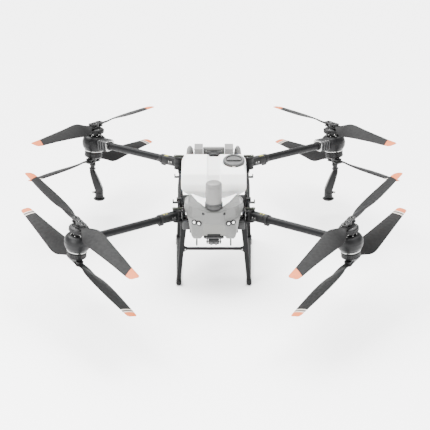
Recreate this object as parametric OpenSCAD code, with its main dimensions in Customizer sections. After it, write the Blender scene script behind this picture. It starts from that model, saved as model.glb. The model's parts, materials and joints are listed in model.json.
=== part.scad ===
// Agricultural spray drone with four folding arms, eight stacked folding
// propellers, a lift-out spray tank, a lift-out battery and two spray nozzles.
// Millimetres, +Z up, the front of the drone faces -Y, the feet stand on z = 0.

/* [Layout] */
// Distance between the left and right motor axes
motor_span_x = 1526; // [1440:2:1700]
// Distance between the front and rear motor axes
motor_span_y = 1584; // [1500:2:1800]
// Height of the front motor pods
pod_front_z = 484; // [470:1:560]
// Height of the rear motor pods
pod_rear_z = 505; // [490:1:580]
// Distance from the middle to an arm's folding pin, across
hinge_x = 215; // [208:1:240]
// Distance from the middle to an arm's folding pin, along
hinge_y = 250; // [244:1:280]
// Height of a front folding pin's middle
hinge_front_z = 424; // [420:1:440]
// Height of a rear folding pin's middle
hinge_rear_z = 569; // [550:1:590]

/* [Propellers] */
// Radius swept by a blade tip
prop_r = 686; // [560:1:700]
// Widest part of a blade
blade_chord = 122; // [90:1:126]
// Blade width at its tip
tip_chord = 60; // [40:1:80]
// Distance that a propeller would screw itself forward in one turn
prop_pitch = 560; // [350:10:640]
// Thickness of the blade's root block
root_t = 15.6; // [12:0.2:18]
// Distance from the motor axis to a blade's folding pin
pin_offset = 45; // [44:1:52]
// Radius of a blade's folding pin
blade_pin_r = 5; // [3:0.5:7]
// Angle of the resting blades from the X axis
blade_rest = 60; // [50:1:70]

/* [Motor pods] */
// Greatest radius of a pod
pod_r = 77.5; // [70:0.5:84]
// Height of the pod above the arm's middle
pod_top = 45; // [40:1:50]
// Depth of the pod below the arm's middle
pod_bottom = 54; // [46:1:58]
// Radius of the upper motor's bell
bell_upper_r = 57.5; // [50:0.5:64]
// Radius of the lower motor's bell
bell_lower_r = 57; // [50:0.5:64]
// Height of the upper blades above the arm's middle
prop_upper = 115; // [110:1:130]
// Depth of the lower blades below the arm's middle
prop_lower = 117; // [110:1:130]
// Radius of a plain motor shaft
shaft_r = 8; // [6:0.5:10]
// Radius of the hollow shaft that carries a nozzle
nozzle_shaft_r = 15; // [12:0.5:17]
// Lean of every motor axis around its arm
pod_twist = 6.9; // [0:0.1:9]
// Lean of a front motor axis towards the middle
lean_front = 1.8; // [0:0.1:3]
// Lean of a rear motor axis towards the middle
lean_rear = 0.4; // [0:0.1:3]

/* [Arms] */
// Outside radius of the arm tube
tube_r = 23; // [19:0.5:26]
// Wall of the arm tube
tube_wall = 2.5; // [1.5:0.5:5]
// Radius of the folding knuckle
knuckle_r = 27; // [25:0.5:29]
// Height of the folding knuckle
knuckle_h = 60; // [54:1:66]
// Radius of the folding pin
hinge_pin_r = 8; // [5:0.5:10]
// Thickness of a hinge plate
hinge_plate = 8; // [6:0.5:10]

/* [Tank] */
// Half of the tank's width
tank_half = 192; // [178:1:193]
// Height of the tank's flat outlet face
tank_floor_z = 430; // [426:1:436]
// Height of the tank's rear top edge
tank_top_z = 694; // [660:1:760]
// Wall of the tank
tank_wall = 4; // [3:0.5:7]
// Inside radius of the filler neck
filler_r = 54; // [42:1:58]
// Forward tilt of the filler neck
filler_tilt = 12; // [0:1:20]

/* [Nose] */
// Half of the nose shell's width
nose_half = 174; // [160:1:180]
// Wall of the nose shell
nose_wall = 3; // [2:0.5:5]
// Radius of the radar dome
radar_r = 47.5; // [40:0.5:52]
// Height of the radar's top
radar_top_z = 678; // [640:1:700]

/* [Battery] */
// Half of the battery's width
battery_half = 64; // [50:1:66]
// Depth of the battery from front to back
battery_depth = 132; // [110:1:150]
// Height of the battery's flat top
battery_top_z = 662; // [640:1:672]
// Height of the handle's top
handle_top_z = 706; // [700:1:740]

/* [Landing gear] */
// Radius of a skid tube
skid_r = 12.5; // [10:0.5:15]
// Distance from the middle to a skid's front end, across
skid_front_x = 209; // [204:1:240]
// Distance from the middle to a skid's rear end, across
skid_rear_x = 222; // [212:1:250]
// Place of the front feet
skid_front_y = -300; // [-320:1:-290]
// Place of the rear feet
skid_rear_y = 380; // [360:1:420]
// Height of the cross bars
crossbar_z = 220; // [180:1:260]

/* [Nozzles] */
// Radius of the spinning spray disc
disc_r = 37.5; // [32:0.5:45]
// Height of the disc's lower face
disc_z = 117; // [100:1:130]
// Distance from the middle to a nozzle, across
nozzle_x = 739; // [700:1:790]

/* [Fits] */
// Gap between a shaft and the bore that turns on it
run_gap = 0.05; // [0.02:0.01:0.09]
// Gap between flat faces that slide past each other
face_gap = 0.5; // [0.3:0.1:1]
// Gap around pieces that lift out or stand beside each other
lift_gap = 1.5; // [1:0.5:3]

/* [Hidden] */
$fn = 48;

// Propeller clamp: two plates around the blade roots and a middle column
plate_t = 5;
plate_gap = root_t + 2 * 0.2;
plate_stack = plate_gap / 2 + plate_t;
clamp_r = 22;
root_r = 18;
root_len = 30;
boss_r = 34;
boss_h = 6;

// Blade loft
blade_n = 13;
ring_n = 10;
blade_start_r = pin_offset + root_r;
blade_widest = 0.3;

// Arms
neck_len = 78;
neck_w = 46;
sleeve_r = tube_r + 7;
sleeve_len = 78;

// Hinge base, measured from the folding pin
base_back = 34;
base_half = 28;
lever_reach = 40;
lever_w = 18;
lever_h = 8;
lever_pin_r = 4;
lever_pin_x = 18;

// Frame
rail_r = 9;
lug_half = 14;
cross_w = 18;
front_low_z = hinge_front_z - 26;
rail_x = 205;
frame_rear_z = 430;
bracket_half = 14;
bracket_h = 24;
floor_t = 8;
floor_half_y = 62;
spine_half = 30;
tongue_y = -390;
mount_x = 90;
mount_y = 45;
mount_r = 3.3;
hook_reach = 242;
hook_front_z = 500;
hook_rear_z = 470;

// Tank
tank_front_y = -190;
tank_rear_y = 78;
cap_x = 119;
cap_y = -40;
cap_z = 678;
cap_r = filler_r + 11;
cap_h = 20;
neck_h = 14;

// Nose and radar
nose_front_y = -418;
nose_back_y = -226;
radar_y = -368;
ring_r = radar_r + 4.5;
ring_z = 520;
nose_belly_z = 348;
nose_lobe_z = 317;
ring_h = 32;
lens_r = 6.5;
rod_end_z = 250;

// Battery bay
bay_front_y = tank_rear_y + 12;
bay_wall = 6;
bay_back_y = bay_front_y + battery_depth + 2 * lift_gap + 2 * bay_wall;
// The frame's rear cross member stays behind the battery bay
cross_back_y = max(hinge_y, bay_back_y + 4 + cross_w / 2);
pillar_outer = 117;
pillar_top_z = 712;
bay_floor_z = 452;
handle_t = 24;

// Nozzle
nozzle_y = 778;
nozzle_body_r = 27;
nozzle_body_h = 56;
disc_h = 16;
disc_pin_r = 4;
stem_len = 50;

// Skid ends and their rubber saddles
skid_end = 18;
pad_len = 56;
pad_h = 12;

// Cross bars between the legs
crossbar_r = 9.5;
stub_len = 32;

ARMS = ["front_left", "front_right", "rear_left", "rear_right"];
REAR_SIDES = ["left", "right"];
ARM_PARTS = [
    "arm_tube", "pod", "rotor_upper", "rotor_lower", "lock_lever",
    "blade_upper_a", "blade_upper_b", "blade_lower_a", "blade_lower_b",
];
SIDE_PARTS = ["landing_gear", "nozzle_arm", "spray_disc"];
CENTRE_PARTS = [
    "main_frame", "tank", "tank_cap", "nose_shell", "avionics_box",
    "radar_dome", "radar_ring", "headlights", "vision_cameras",
    "camera_bracket", "fpv_camera", "antenna_rods", "battery",
    "battery_bay", "position_antennas", "gear_crossbars", "skid_feet",
    "pumps",
];

// An arm's place, from its name: which end it is at and which side
function is_front(arm) = arm[0] == "f";
function is_left(name) = name[len(name) - 4] == "l";
function hinge_z(arm) = is_front(arm) ? hinge_front_z : hinge_rear_z;
function pod_z(arm) = is_front(arm) ? pod_front_z : pod_rear_z;
function end_sign(arm) = is_front(arm) ? -1 : 1;
function arm_dx() = motor_span_x / 2 - hinge_x;
function arm_dy() = motor_span_y / 2 - hinge_y;
function arm_run() = norm([arm_dx(), arm_dy()]);
function arm_azimuth(arm) = end_sign(arm) * atan2(arm_dy(), arm_dx());
function arm_rise(arm) = atan2(pod_z(arm) - hinge_z(arm), arm_run());
function arm_len(arm) = norm([arm_run(), pod_z(arm) - hinge_z(arm)]);
function blade_angle(arm) = end_sign(arm) * -blade_rest - arm_azimuth(arm);
function lean(arm) = is_front(arm) ? lean_front : lean_rear;
function lower_shaft_r(arm) = is_front(arm) ? shaft_r : nozzle_shaft_r;

// ---------------------------------------------------------------- placing

module on_side(left) {
    if (left) mirror([1, 0, 0]) children();
    else children();
}

module at_hinge(arm) {
    on_side(is_left(arm))
        translate([hinge_x, end_sign(arm) * hinge_y, hinge_z(arm)])
            children();
}

// +X runs out along the arm, level
module along_arm_level(arm) {
    at_hinge(arm) rotate([0, 0, arm_azimuth(arm)]) children();
}

// +X runs out along the arm's own tube
module along_arm(arm) {
    along_arm_level(arm) rotate([0, -arm_rise(arm), 0]) children();
}

// +Z is the motor axis, +X points away from the folding pin
module at_pod(arm) {
    on_side(is_left(arm))
        translate([motor_span_x / 2, end_sign(arm) * motor_span_y / 2, pod_z(arm)])
            rotate([0, 0, arm_azimuth(arm)])
                rotate([-end_sign(arm) * pod_twist, -lean(arm), 0])
                    children();
}

module at_blade_pin(arm, height, turned) {
    at_pod(arm)
        translate([0, 0, height])
            rotate([0, 0, blade_angle(arm) + turned])
                translate([pin_offset, 0, 0])
                    children();
}

module mirrored_pair() {
    children();
    mirror([1, 0, 0]) children();
}

// Straight round bar between two points
module bar(a, b, r) {
    d = b - a;
    translate(a)
        rotate([0, acos(d[2] / norm(d)), atan2(d[1], d[0])])
            rotate([0, 0, 35])
                cylinder(r = r, h = norm(d));
}

// Corner points rounded to a radius, in order around a convex or hollow outline
function unit(v) = v / norm(v);
function fillet(p, q, s, r, n) =
    let (u = unit(p - q), v = unit(s - q))
    let (half = acos(max(-1, min(1, u * v))) / 2)
    let (t = min(r / tan(half), 0.48 * norm(p - q), 0.48 * norm(s - q)))
    let (rr = t * tan(half), c = q + unit(u + v) * rr / sin(half))
    let (a = q + u * t - c, b = q + v * t - c)
    let (sweep = acos(max(-1, min(1, unit(a) * unit(b)))))
    [for (i = [0:n]) let (k = i / n)
        c + (sin((1 - k) * sweep) * a + sin(k * sweep) * b) / sin(sweep)];
function rounded(pts, r, n = 4) =
    let (m = len(pts))
    [for (i = [0:m - 1])
        each fillet(pts[(i + m - 1) % m], pts[i], pts[(i + 1) % m], r, n)];
function both_sides(half) = concat(
    half,
    [for (i = [len(half) - 1:-1:0]) [-half[i][0], half[i][1]]]
);

// An outline in x and z, pushed along y
module extrude_y(from, to) {
    translate([0, to, 0])
        rotate([90, 0, 0])
            linear_extrude(to - from) children();
}

// An outline in y and z, pushed along x to both sides
module extrude_x(half) {
    translate([-half, 0, 0])
        rotate([90, 0, 90])
            linear_extrude(2 * half) children();
}

// ---------------------------------------------------------------- arms

module arm_tube(arm) {
    color("#3c3d3f") {
        difference() {
            union() {
                along_arm_level(arm)
                    cylinder(r = knuckle_r, h = knuckle_h, center = true);
                along_arm(arm)
                    translate([knuckle_r / 2, -neck_w / 2, -knuckle_h / 2 + 5])
                        cube([neck_len - knuckle_r / 2, neck_w, knuckle_h - 10]);
                along_arm(arm)
                    translate([neck_len - 8, 0, 0])
                        rotate([0, 90, 0])
                            cylinder(r = tube_r, h = arm_len(arm) - pod_r - neck_len + 16);
            }
            along_arm_level(arm)
                cylinder(r = hinge_pin_r + run_gap, h = knuckle_h + 2, center = true);
            along_arm(arm)
                translate([neck_len, 0, 0])
                    rotate([0, 90, 0])
                        cylinder(r = tube_r - tube_wall, h = arm_len(arm));
        }
    }
}

// Egg-shaped housing between the two motors, with the tube's clamp sleeve
module pod(arm) {
    color("#2e2f31") {
        difference() {
            union() {
                at_pod(arm)
                    rotate_extrude($fn = 64)
                        polygon([
                            [0, -pod_bottom],
                            [pod_r - 25, -pod_bottom],
                            [pod_r - 16, -pod_bottom + 8],
                            [pod_r - 5, -pod_bottom * 0.5],
                            [pod_r, 0],
                            [pod_r - 4, pod_top * 0.45],
                            [pod_r - 14, pod_top - 7],
                            [pod_r - 20, pod_top],
                            [0, pod_top],
                        ]);
                along_arm(arm)
                    translate([arm_len(arm) - pod_r - sleeve_len + 20, 0, 0])
                        rotate([0, 90, 0])
                            cylinder(r = sleeve_r, h = sleeve_len);
            }
            along_arm(arm)
                translate([arm_len(arm) - pod_r - sleeve_len, 0, 0])
                    rotate([0, 90, 0])
                        cylinder(r = tube_r + run_gap, h = sleeve_len + 8);
        }
        at_pod(arm)
            translate([0, 0, pod_top - 2])
                cylinder(r = shaft_r, h = prop_upper - pod_top - boss_h - plate_stack - 4);
        at_pod(arm)
            translate([0, 0, -lower_shaft_end(arm)])
                cylinder(r = lower_shaft_r(arm), h = lower_shaft_end(arm) - pod_bottom + 2);
    }
}
function lower_shaft_end(arm) = is_front(arm)
    ? prop_lower - boss_h - plate_stack - 6
    : prop_lower + plate_stack + 8;

// One motor bell with its propeller clamp. The blades' plane is z = 0 and
// the open face of the bell is at z = -stand.
module rotor(bell_r, stand, bore_r, bore_top) {
    difference() {
        union() {
            translate([0, 0, -stand])
                rotate_extrude($fn = 64)
                    polygon([
                        [0, 0],
                        [bell_r - 2, 0],
                        [bell_r, 2],
                        [bell_r, stand - boss_h - plate_stack - 8],
                        [bell_r - 8, stand - boss_h - plate_stack],
                        [boss_r, stand - boss_h - plate_stack],
                        [boss_r, stand - plate_stack],
                        [0, stand - plate_stack],
                    ]);
            cylinder(r = clamp_r, h = 2 * plate_stack, center = true);
            for (side = [-1, 1]) {
                translate([0, 0, side * (plate_stack - plate_t / 2)]) {
                    cube([2 * pin_offset, 2 * clamp_r, plate_t], center = true);
                    for (end = [-1, 1])
                        translate([end * pin_offset, 0, 0])
                            cylinder(r = clamp_r, h = plate_t, center = true);
                }
                translate([side * pin_offset, 0, 0])
                    cylinder(r = blade_pin_r, h = 2 * plate_stack, center = true);
            }
        }
        translate([0, 0, -stand - 1])
            cylinder(r = bore_r, h = stand + 1 + bore_top);
    }
}

module rotor_upper(arm) {
    color("#1f2022")
        at_pod(arm)
            translate([0, 0, prop_upper])
                rotate([0, 0, blade_angle(arm)])
                    rotor(
                        bell_upper_r, prop_upper - pod_top - 2 * face_gap,
                        shaft_r + run_gap, -boss_h - plate_stack
                    );
}

module rotor_lower(arm) {
    color("#1f2022")
        at_pod(arm)
            translate([0, 0, -prop_lower])
                rotate([0, 0, blade_angle(arm)])
                    mirror([0, 0, 1])
                        rotor(
                            bell_lower_r, prop_lower - pod_bottom - 2 * face_gap,
                            lower_shaft_r(arm) + run_gap,
                            is_front(arm) ? -boss_h - plate_stack : plate_stack + 1
                        );
}

// Blade sizes at a distance r from the motor axis
function chord_at(r) =
    let (k = r / prop_r, k0 = blade_start_r / prop_r)
    k < blade_widest
        ? 34 + (blade_chord - 34) * sin(90 * (k - k0) / (blade_widest - k0))
        : blade_chord - (blade_chord - tip_chord)
            * pow((k - blade_widest) / (1 - blade_widest), 1.15);
function pitch_at(r) =
    atan(prop_pitch / (2 * PI * r)) * min(1, (r - blade_start_r) / (0.13 * prop_r));
function thick_at(r) =
    12.5 - 8.5 * pow((r - blade_start_r) / (prop_r - blade_start_r), 0.6);
function tip_cut(i) = i == blade_n ? 0.72 : 1;
function blade_point(i, j, spin) =
    let (r = blade_start_r + (prop_r - blade_start_r) * pow(i / blade_n, 1.1))
    let (a = 360 * j / ring_n, c = chord_at(r) * tip_cut(i))
    let (y = c * (0.5 * cos(a) - 0.06), z = thick_at(r) / 2 * sin(a))
    let (arch = 0.03 * c * (1 - pow(2 * y / c, 2)), p = pitch_at(r))
    [
        r - pin_offset,
        spin * (y * cos(p) - (z + arch) * sin(p)),
        y * sin(p) + (z + arch) * cos(p),
    ];
// Triangles of a closed skin over rings of points; flip turns them inside out
function skin_faces(rings, n, flip) =
    let (side = [
        for (i = [0:rings - 2]) for (j = [0:n - 1])
            let (k = (j + 1) % n)
            each [
                [i * n + j, (i + 1) * n + j, (i + 1) * n + k],
                [i * n + j, (i + 1) * n + k, i * n + k],
            ]
    ])
    let (caps = [
        [for (j = [0:n - 1]) j],
        [for (j = [n - 1:-1:0]) (rings - 1) * n + j],
    ])
    [for (f = concat(side, caps)) flip ? [for (j = [len(f) - 1:-1:0]) f[j]] : f];

module blade(spin) {
    difference() {
        union() {
            cylinder(r = root_r, h = root_t, center = true);
            translate([0, -root_r + 1, -root_t / 2])
                cube([root_len, 2 * root_r - 2, root_t]);
        }
        cylinder(r = blade_pin_r + run_gap, h = root_t + 2, center = true);
    }
    intersection() {
        polyhedron(
            points = [for (i = [0:blade_n]) for (j = [0:ring_n - 1]) blade_point(i, j, spin)],
            faces = skin_faces(blade_n + 1, ring_n, spin < 0)
        );
        translate([root_len, -prop_r, -prop_r])
            cube([prop_r, 2 * prop_r, 2 * prop_r]);
    }
}

// Upper and lower propellers turn opposite ways; so do neighbours
module blade_of(arm, upper, turned) {
    spin = (upper ? 1 : -1) * end_sign(arm);
    color("#4b4b4a")
        at_blade_pin(arm, upper ? prop_upper : -prop_lower, turned)
            blade(spin);
}

module lock_lever(arm) {
    color("#55574f")
        at_hinge(arm)
            translate([lever_pin_x, 0, knuckle_h / 2 + hinge_plate + 2 * face_gap])
                difference() {
                    union() {
                        cylinder(r = lever_w / 2 + 3, h = lever_h);
                        translate([-lever_reach, -lever_w / 2, 0])
                            cube([lever_reach, lever_w, lever_h]);
                        translate([-lever_reach, 0, 0])
                            cylinder(r = lever_w / 2, h = lever_h);
                    }
                    translate([0, 0, -1])
                        cylinder(r = lever_pin_r + run_gap, h = lever_h + 2);
                }
}

// ---------------------------------------------------------------- frame

// Fork that holds an arm's knuckle, with its folding pin and the lever's pin
module hinge_base() {
    half = knuckle_h / 2 + face_gap;
    for (s = [-1, 1])
        translate([0, 0, s * (half + hinge_plate / 2)]) {
            cylinder(r = base_half, h = hinge_plate, center = true);
            translate([-base_back / 2, 0, 0])
                cube([base_back, 2 * base_half, hinge_plate], center = true);
        }
    translate([-base_back, -base_half, -half - hinge_plate])
        cube([base_back - knuckle_r - 1, 2 * base_half, 2 * (half + hinge_plate)]);
    cylinder(r = hinge_pin_r, h = 2 * half + 2, center = true);
    translate([lever_pin_x, 0, half + hinge_plate - 1])
        cylinder(r = lever_pin_r, h = lever_h + 1.5);
}

// Rest for a folded arm: a bent finger outside the frame
module arm_hook(y, z) {
    translate([rail_x - 4, y - 10, z])
        cube([hook_reach - rail_x + 4, 20, 7]);
    translate([hook_reach - 7, y - 10, z])
        cube([7, 20, 20]);
}

// Block that the bars of the side truss run into
module lug(p) {
    translate(p) cube(2 * lug_half, center = true);
}

module frame_side() {
    foot = [hinge_x - base_back + 6 - lug_half - 1, -hinge_y + 22, front_low_z];
    rear_low = [rail_x, hinge_y, frame_rear_z];
    front_high = [rail_x, -hinge_y + 36, hook_front_z + 4];
    rear_high = [rail_x, hinge_y, hinge_rear_z - knuckle_h / 2 - hinge_plate - 12];
    middle = (front_high + rear_high) / 2;
    translate([hinge_x, -hinge_y, hinge_front_z]) hinge_base();
    translate([hinge_x, hinge_y, hinge_rear_z]) hinge_base();
    translate([foot[0] - lug_half, foot[1] - lug_half, front_base_z()])
        cube([2 * lug_half, 2 * lug_half, front_low_z + lug_half - front_base_z()]);
    lug(front_high);
    lug(rear_high);
    bar(foot, rear_low, rail_r);
    bar(front_high, rear_high, rail_r);
    bar(foot, front_high, rail_r);
    bar(rear_low, rear_high + [0, 0, 16], rail_r);
    bar(rear_low, middle + [0, -30, 0], rail_r - 2);
    bar(foot + [0, 60, 2], middle + [0, -70, 0], rail_r - 3);
    translate([rail_x - bracket_half, hinge_y - bracket_half, frame_rear_z - bracket_h / 2])
        cube([2 * bracket_half, 40 + bracket_half, bracket_h]);
    bar(front_high, [rail_x, -hinge_y, hook_front_z + 3], rail_r - 2);
    arm_hook(-hinge_y, hook_front_z);
    arm_hook(hinge_y, hook_rear_z);
}

module main_frame() {
    front_y = nose_back_y + 13;
    color("#26272a") {
        mirrored_pair() frame_side();
        translate([-rail_x + 24, front_y - cross_w / 2, front_low_z - cross_w / 2])
            cube([2 * (rail_x - 24), cross_w, cross_w]);
        translate([-spine_half, front_y - 6, front_low_z])
            cube([2 * spine_half, 12, tank_floor_z - front_low_z - 1]);
        translate([-rail_x, cross_back_y - cross_w / 2, frame_rear_z - cross_w / 2])
            cube([2 * rail_x, cross_w, cross_w]);
        difference() {
            translate([-rail_x, -floor_half_y, tank_floor_z - floor_t])
                cube([2 * rail_x, 2 * floor_half_y, floor_t]);
            for (x = [-mount_x, mount_x]) for (y = [-mount_y, mount_y])
                translate([x, y, tank_floor_z - floor_t - 1])
                    cylinder(r = mount_r, h = floor_t + 2, $fn = 24);
        }
        translate([-spine_half, tongue_y, tank_floor_z - floor_t])
            cube([2 * spine_half, -floor_half_y + 1 - tongue_y, floor_t]);
        translate([-spine_half, floor_half_y - 1, tank_floor_z - floor_t])
            cube([2 * spine_half, cross_back_y - floor_half_y + 3, floor_t]);
    }
}

// ---------------------------------------------------------------- tank

// The tank's outside, or its inside when shrunk by the wall
module tank_form(t) {
    w = tank_half - t;
    lift = tank_top_z - 694;
    intersection() {
        extrude_y(tank_front_y + t, tank_rear_y - t)
            polygon(rounded(both_sides([
                [62 - t, tank_floor_z + t],
                [72 - t, 470 + t / 2],
                [w - 42, 512 + t / 2],
                [w, 562],
                [w, 652 + lift],
                [w - 34, tank_top_z + 10 - t],
            ]), 26 - t));
        extrude_x(tank_half + 5)
            polygon(rounded([
                [tank_rear_y - 20 - t, tank_floor_z + t],
                [tank_rear_y - t, 500 + t / 2],
                [tank_rear_y - t, tank_top_z - 14 - t],
                [tank_rear_y - 22 - t, tank_top_z - t],
                [-108, tank_top_z - 22 - t],
                [tank_front_y + 34 + t, tank_top_z - 50 - t],
                [tank_front_y + t, tank_top_z - 104],
                [tank_front_y + t, 545 + t / 2],
                [tank_front_y + 45 + t, 505 + t / 2],
                [-58 + t, tank_floor_z + t],
            ], 22 - t));
    }
}

module at_filler() {
    translate([cap_x, cap_y, cap_z])
        rotate([filler_tilt, 0, 0])
            children();
}

module tank() {
    color("#eeeeec")
        difference() {
            union() {
                difference() {
                    tank_form(0);
                    tank_form(tank_wall);
                }
                at_filler() {
                    translate([0, 0, -26])
                        cylinder(r = filler_r + 5, h = 26 + neck_h);
                    translate([0, 0, -26])
                        cylinder(r = cap_r + lift_gap + 1.5, h = 26);
                }
            }
            at_filler()
                translate([0, 0, -60])
                    cylinder(r = filler_r, h = 80);
            // flat seat around the neck for the cap's skirt to turn on
            at_filler()
                difference() {
                    cylinder(r = cap_r + lift_gap, h = 60);
                    translate([0, 0, -1])
                        cylinder(r = filler_r + 5, h = 62);
                }
        }
}

// Quarter-turn lid: a skirt around the neck under a flat top
module tank_cap() {
    color("#6e6f6f")
        at_filler()
            difference() {
                translate([0, 0, face_gap])
                    cylinder(r = cap_r, h = cap_h);
                translate([0, 0, -1])
                    cylinder(r = filler_r + 5 + run_gap, h = neck_h + face_gap + 1);
            }
}

// ---------------------------------------------------------------- nose

module nose_form(t, back) {
    w = nose_half - t;
    intersection() {
        extrude_y(nose_front_y + t, back)
            polygon(rounded(both_sides([
                [64, nose_belly_z + t],
                [73 + t / 2, nose_lobe_z + t],
                [120 - t / 2, nose_lobe_z + t],
                [w - 36, 372],
                [w - 26, 428],
                [w, 492],
                [w - 4, 528 - t],
                [133 - t, 548 - t],
                [58 - t, ring_z - t],
            ]), 12));
        extrude_x(nose_half + 5)
            polygon(rounded([
                [back + 1, nose_lobe_z - 5],
                [-352, nose_lobe_z - 5 + t],
                [-386 + t, 345 + t],
                [-408 + t, 424],
                [nose_front_y + t, 462],
                [nose_front_y + t, 506 - t],
                [-392, 524 - t],
                [-300, 526 - t],
                [back + 1, 552 - t],
            ], 14));
        translate([0, 0, 300])
            linear_extrude(270)
                polygon(rounded([
                    [w, back + 1],
                    [w, -300],
                    [w - 46, -382 + t],
                    [40, nose_front_y + t],
                    [-40, nose_front_y + t],
                    [-w + 46, -382 + t],
                    [-w, -300],
                    [-w, back + 1],
                ], 30));
    }
}

module nose_shell() {
    color("#b0b0ae")
        difference() {
            nose_form(0, nose_back_y);
            nose_form(nose_wall, nose_back_y + 1);
            at_radar() cylinder(r = 20, h = 60, center = true);
            at_each_lens() cylinder(r = lens_r + run_gap, h = 40, center = true);
            at_each_headlight() cylinder(r = 15 + run_gap, h = 20, center = true);
        }
}

module at_radar() {
    translate([0, radar_y, ring_z]) children();
}

module at_each_lens() {
    for (s = [-1, 1])
        translate([s * 59, nose_front_y + 8, 495])
            rotate([90, 0, 0]) children();
}

module at_each_headlight() {
    for (s = [-1, 1]) for (k = [0, 1])
        translate([s * (114 - 28 * k), -392 - 12 * k, 436 - 3 * k])
            rotate([90, 0, s * 24]) children();
}

module avionics_box() {
    color("#5a5c5e")
        translate([-62, -372, tank_floor_z - floor_t - 58])
            cube([124, 142, 58]);
}

module radar_dome() {
    color("#acacab")
        at_radar()
            translate([0, 0, ring_h])
                rotate_extrude($fn = 64)
                    polygon([
                        [0, 0],
                        [radar_r, 0],
                        [radar_r, radar_top_z - ring_z - ring_h - 10],
                        [radar_r - 3, radar_top_z - ring_z - ring_h - 4],
                        [radar_r - 9, radar_top_z - ring_z - ring_h],
                        [0, radar_top_z - ring_z - ring_h],
                    ]);
}

module radar_ring() {
    color("#696969")
        at_radar() {
            cylinder(r = ring_r, h = ring_h);
            translate([0, 0, tank_floor_z - ring_z])
                cylinder(r = 18, h = ring_z - tank_floor_z + 1);
        }
}

module headlights() {
    color("#f2f2f0")
        at_each_headlight()
            translate([0, 0, -9])
                cylinder(r = 15, h = 12);
}

module vision_cameras() {
    color("#202124")
        at_each_lens()
            translate([0, 0, -14])
                cylinder(r = lens_r, h = 16);
}

// Ears of the tilting camera's fork, under the nose
module camera_bracket() {
    color("#3a3b3d")
        difference() {
            union() {
                translate([-60, -372, 322]) cube([120, 40, 12]);
                translate([-44, -368, 333]) cube([88, 32, nose_belly_z - 333]);
                for (s = [-1, 1])
                    translate([s * 38 - 4, -366, 286]) cube([8, 28, 37]);
            }
            translate([-50, -352, 298])
                rotate([0, 90, 0])
                    cylinder(r = 4 + run_gap, h = 100, $fn = 32);
        }
}

module fpv_camera() {
    color("#4c4d4f")
        translate([0, -352, 298]) {
            rotate([0, 90, 0]) cylinder(r = 17, h = 64, center = true);
            rotate([0, 90, 0]) cylinder(r = 4, h = 84, center = true, $fn = 32);
            for (s = [-1, 1])
                translate([s * 14, -10, -2])
                    rotate([90, 0, 0]) cylinder(r = 11, h = 14);
        }
}

module antenna_rods() {
    color("#2c2d2f")
        mirrored_pair()
            translate([100, -300, rod_end_z])
                cylinder(r = 5, h = nose_lobe_z - rod_end_z, $fn = 24);
}

// ---------------------------------------------------------------- battery

module battery() {
    front = bay_front_y + bay_wall + lift_gap;
    color("#c9c9c7") {
        translate([-battery_half, front, bay_floor_z])
            cube([2 * battery_half, battery_depth, battery_top_z - bay_floor_z]);
        difference() {
            translate([-battery_half, front + 36, battery_top_z])
                cube([2 * battery_half, handle_t, handle_top_z - battery_top_z]);
            translate([-battery_half + 14, front + 35, battery_top_z])
                cube([2 * battery_half - 28, handle_t + 2, 24]);
        }
    }
}

// Open box that the battery drops into, with a pillar on each side
module battery_bay() {
    inner = battery_half + lift_gap;
    depth = battery_depth + 2 * lift_gap;
    color("#bdbdbb") {
        difference() {
            translate([-inner - bay_wall, bay_front_y, tank_floor_z])
                cube([2 * (inner + bay_wall), depth + 2 * bay_wall, 190]);
            translate([-inner, bay_front_y + bay_wall, bay_floor_z])
                cube([2 * inner, depth, 300]);
        }
        mirrored_pair()
            translate([inner, bay_front_y + bay_wall, tank_floor_z + 60])
                cube([pillar_outer - inner, 96, pillar_top_z - tank_floor_z - 60]);
        mirrored_pair()
            translate([pillar_outer - 10, bay_front_y + 60, 598])
                cube([178 - pillar_outer, 60, 22]);
    }
}

module position_antennas() {
    color("#b9b9b7")
        mirrored_pair()
            translate([144, bay_front_y + 90, 620])
                rotate_extrude()
                    polygon([[0, 0], [25, 0], [25, 18], [17, 66], [12, 79], [6, 82], [0, 82]]);
}

module pumps() {
    color("#3d3f42")
        for (s = [-1, 1])
            translate([s * 70, 0, tank_floor_z - floor_t - 58]) {
                cylinder(r = 34, h = 58);
                translate([0, 0, 20])
                    rotate([90, 0, 0]) cylinder(r = 11, h = 56);
            }
}

// ---------------------------------------------------------------- landing gear

function front_base_z() = hinge_front_z - knuckle_h / 2 - face_gap - hinge_plate;
function skid_z() = skid_r + 2;
function skid_front() = [skid_front_x, skid_front_y, skid_z()];
function skid_rear() = [skid_rear_x, skid_rear_y, skid_z()];
function leg_front_top() = [hinge_x - base_back - 5, -hinge_y - 4, hinge_front_z - 52];
function leg_rear_top() = [rail_x, hinge_y + 26, frame_rear_z - bracket_h / 2 - 14];
function leg_at(foot, top, z) = foot + (top - foot) * (z - foot[2]) / (top[2] - foot[2]);
function crossbar_front() = leg_at(skid_front(), leg_front_top(), crossbar_z);
function crossbar_rear() = leg_at(skid_rear(), leg_rear_top(), crossbar_z);

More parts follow.
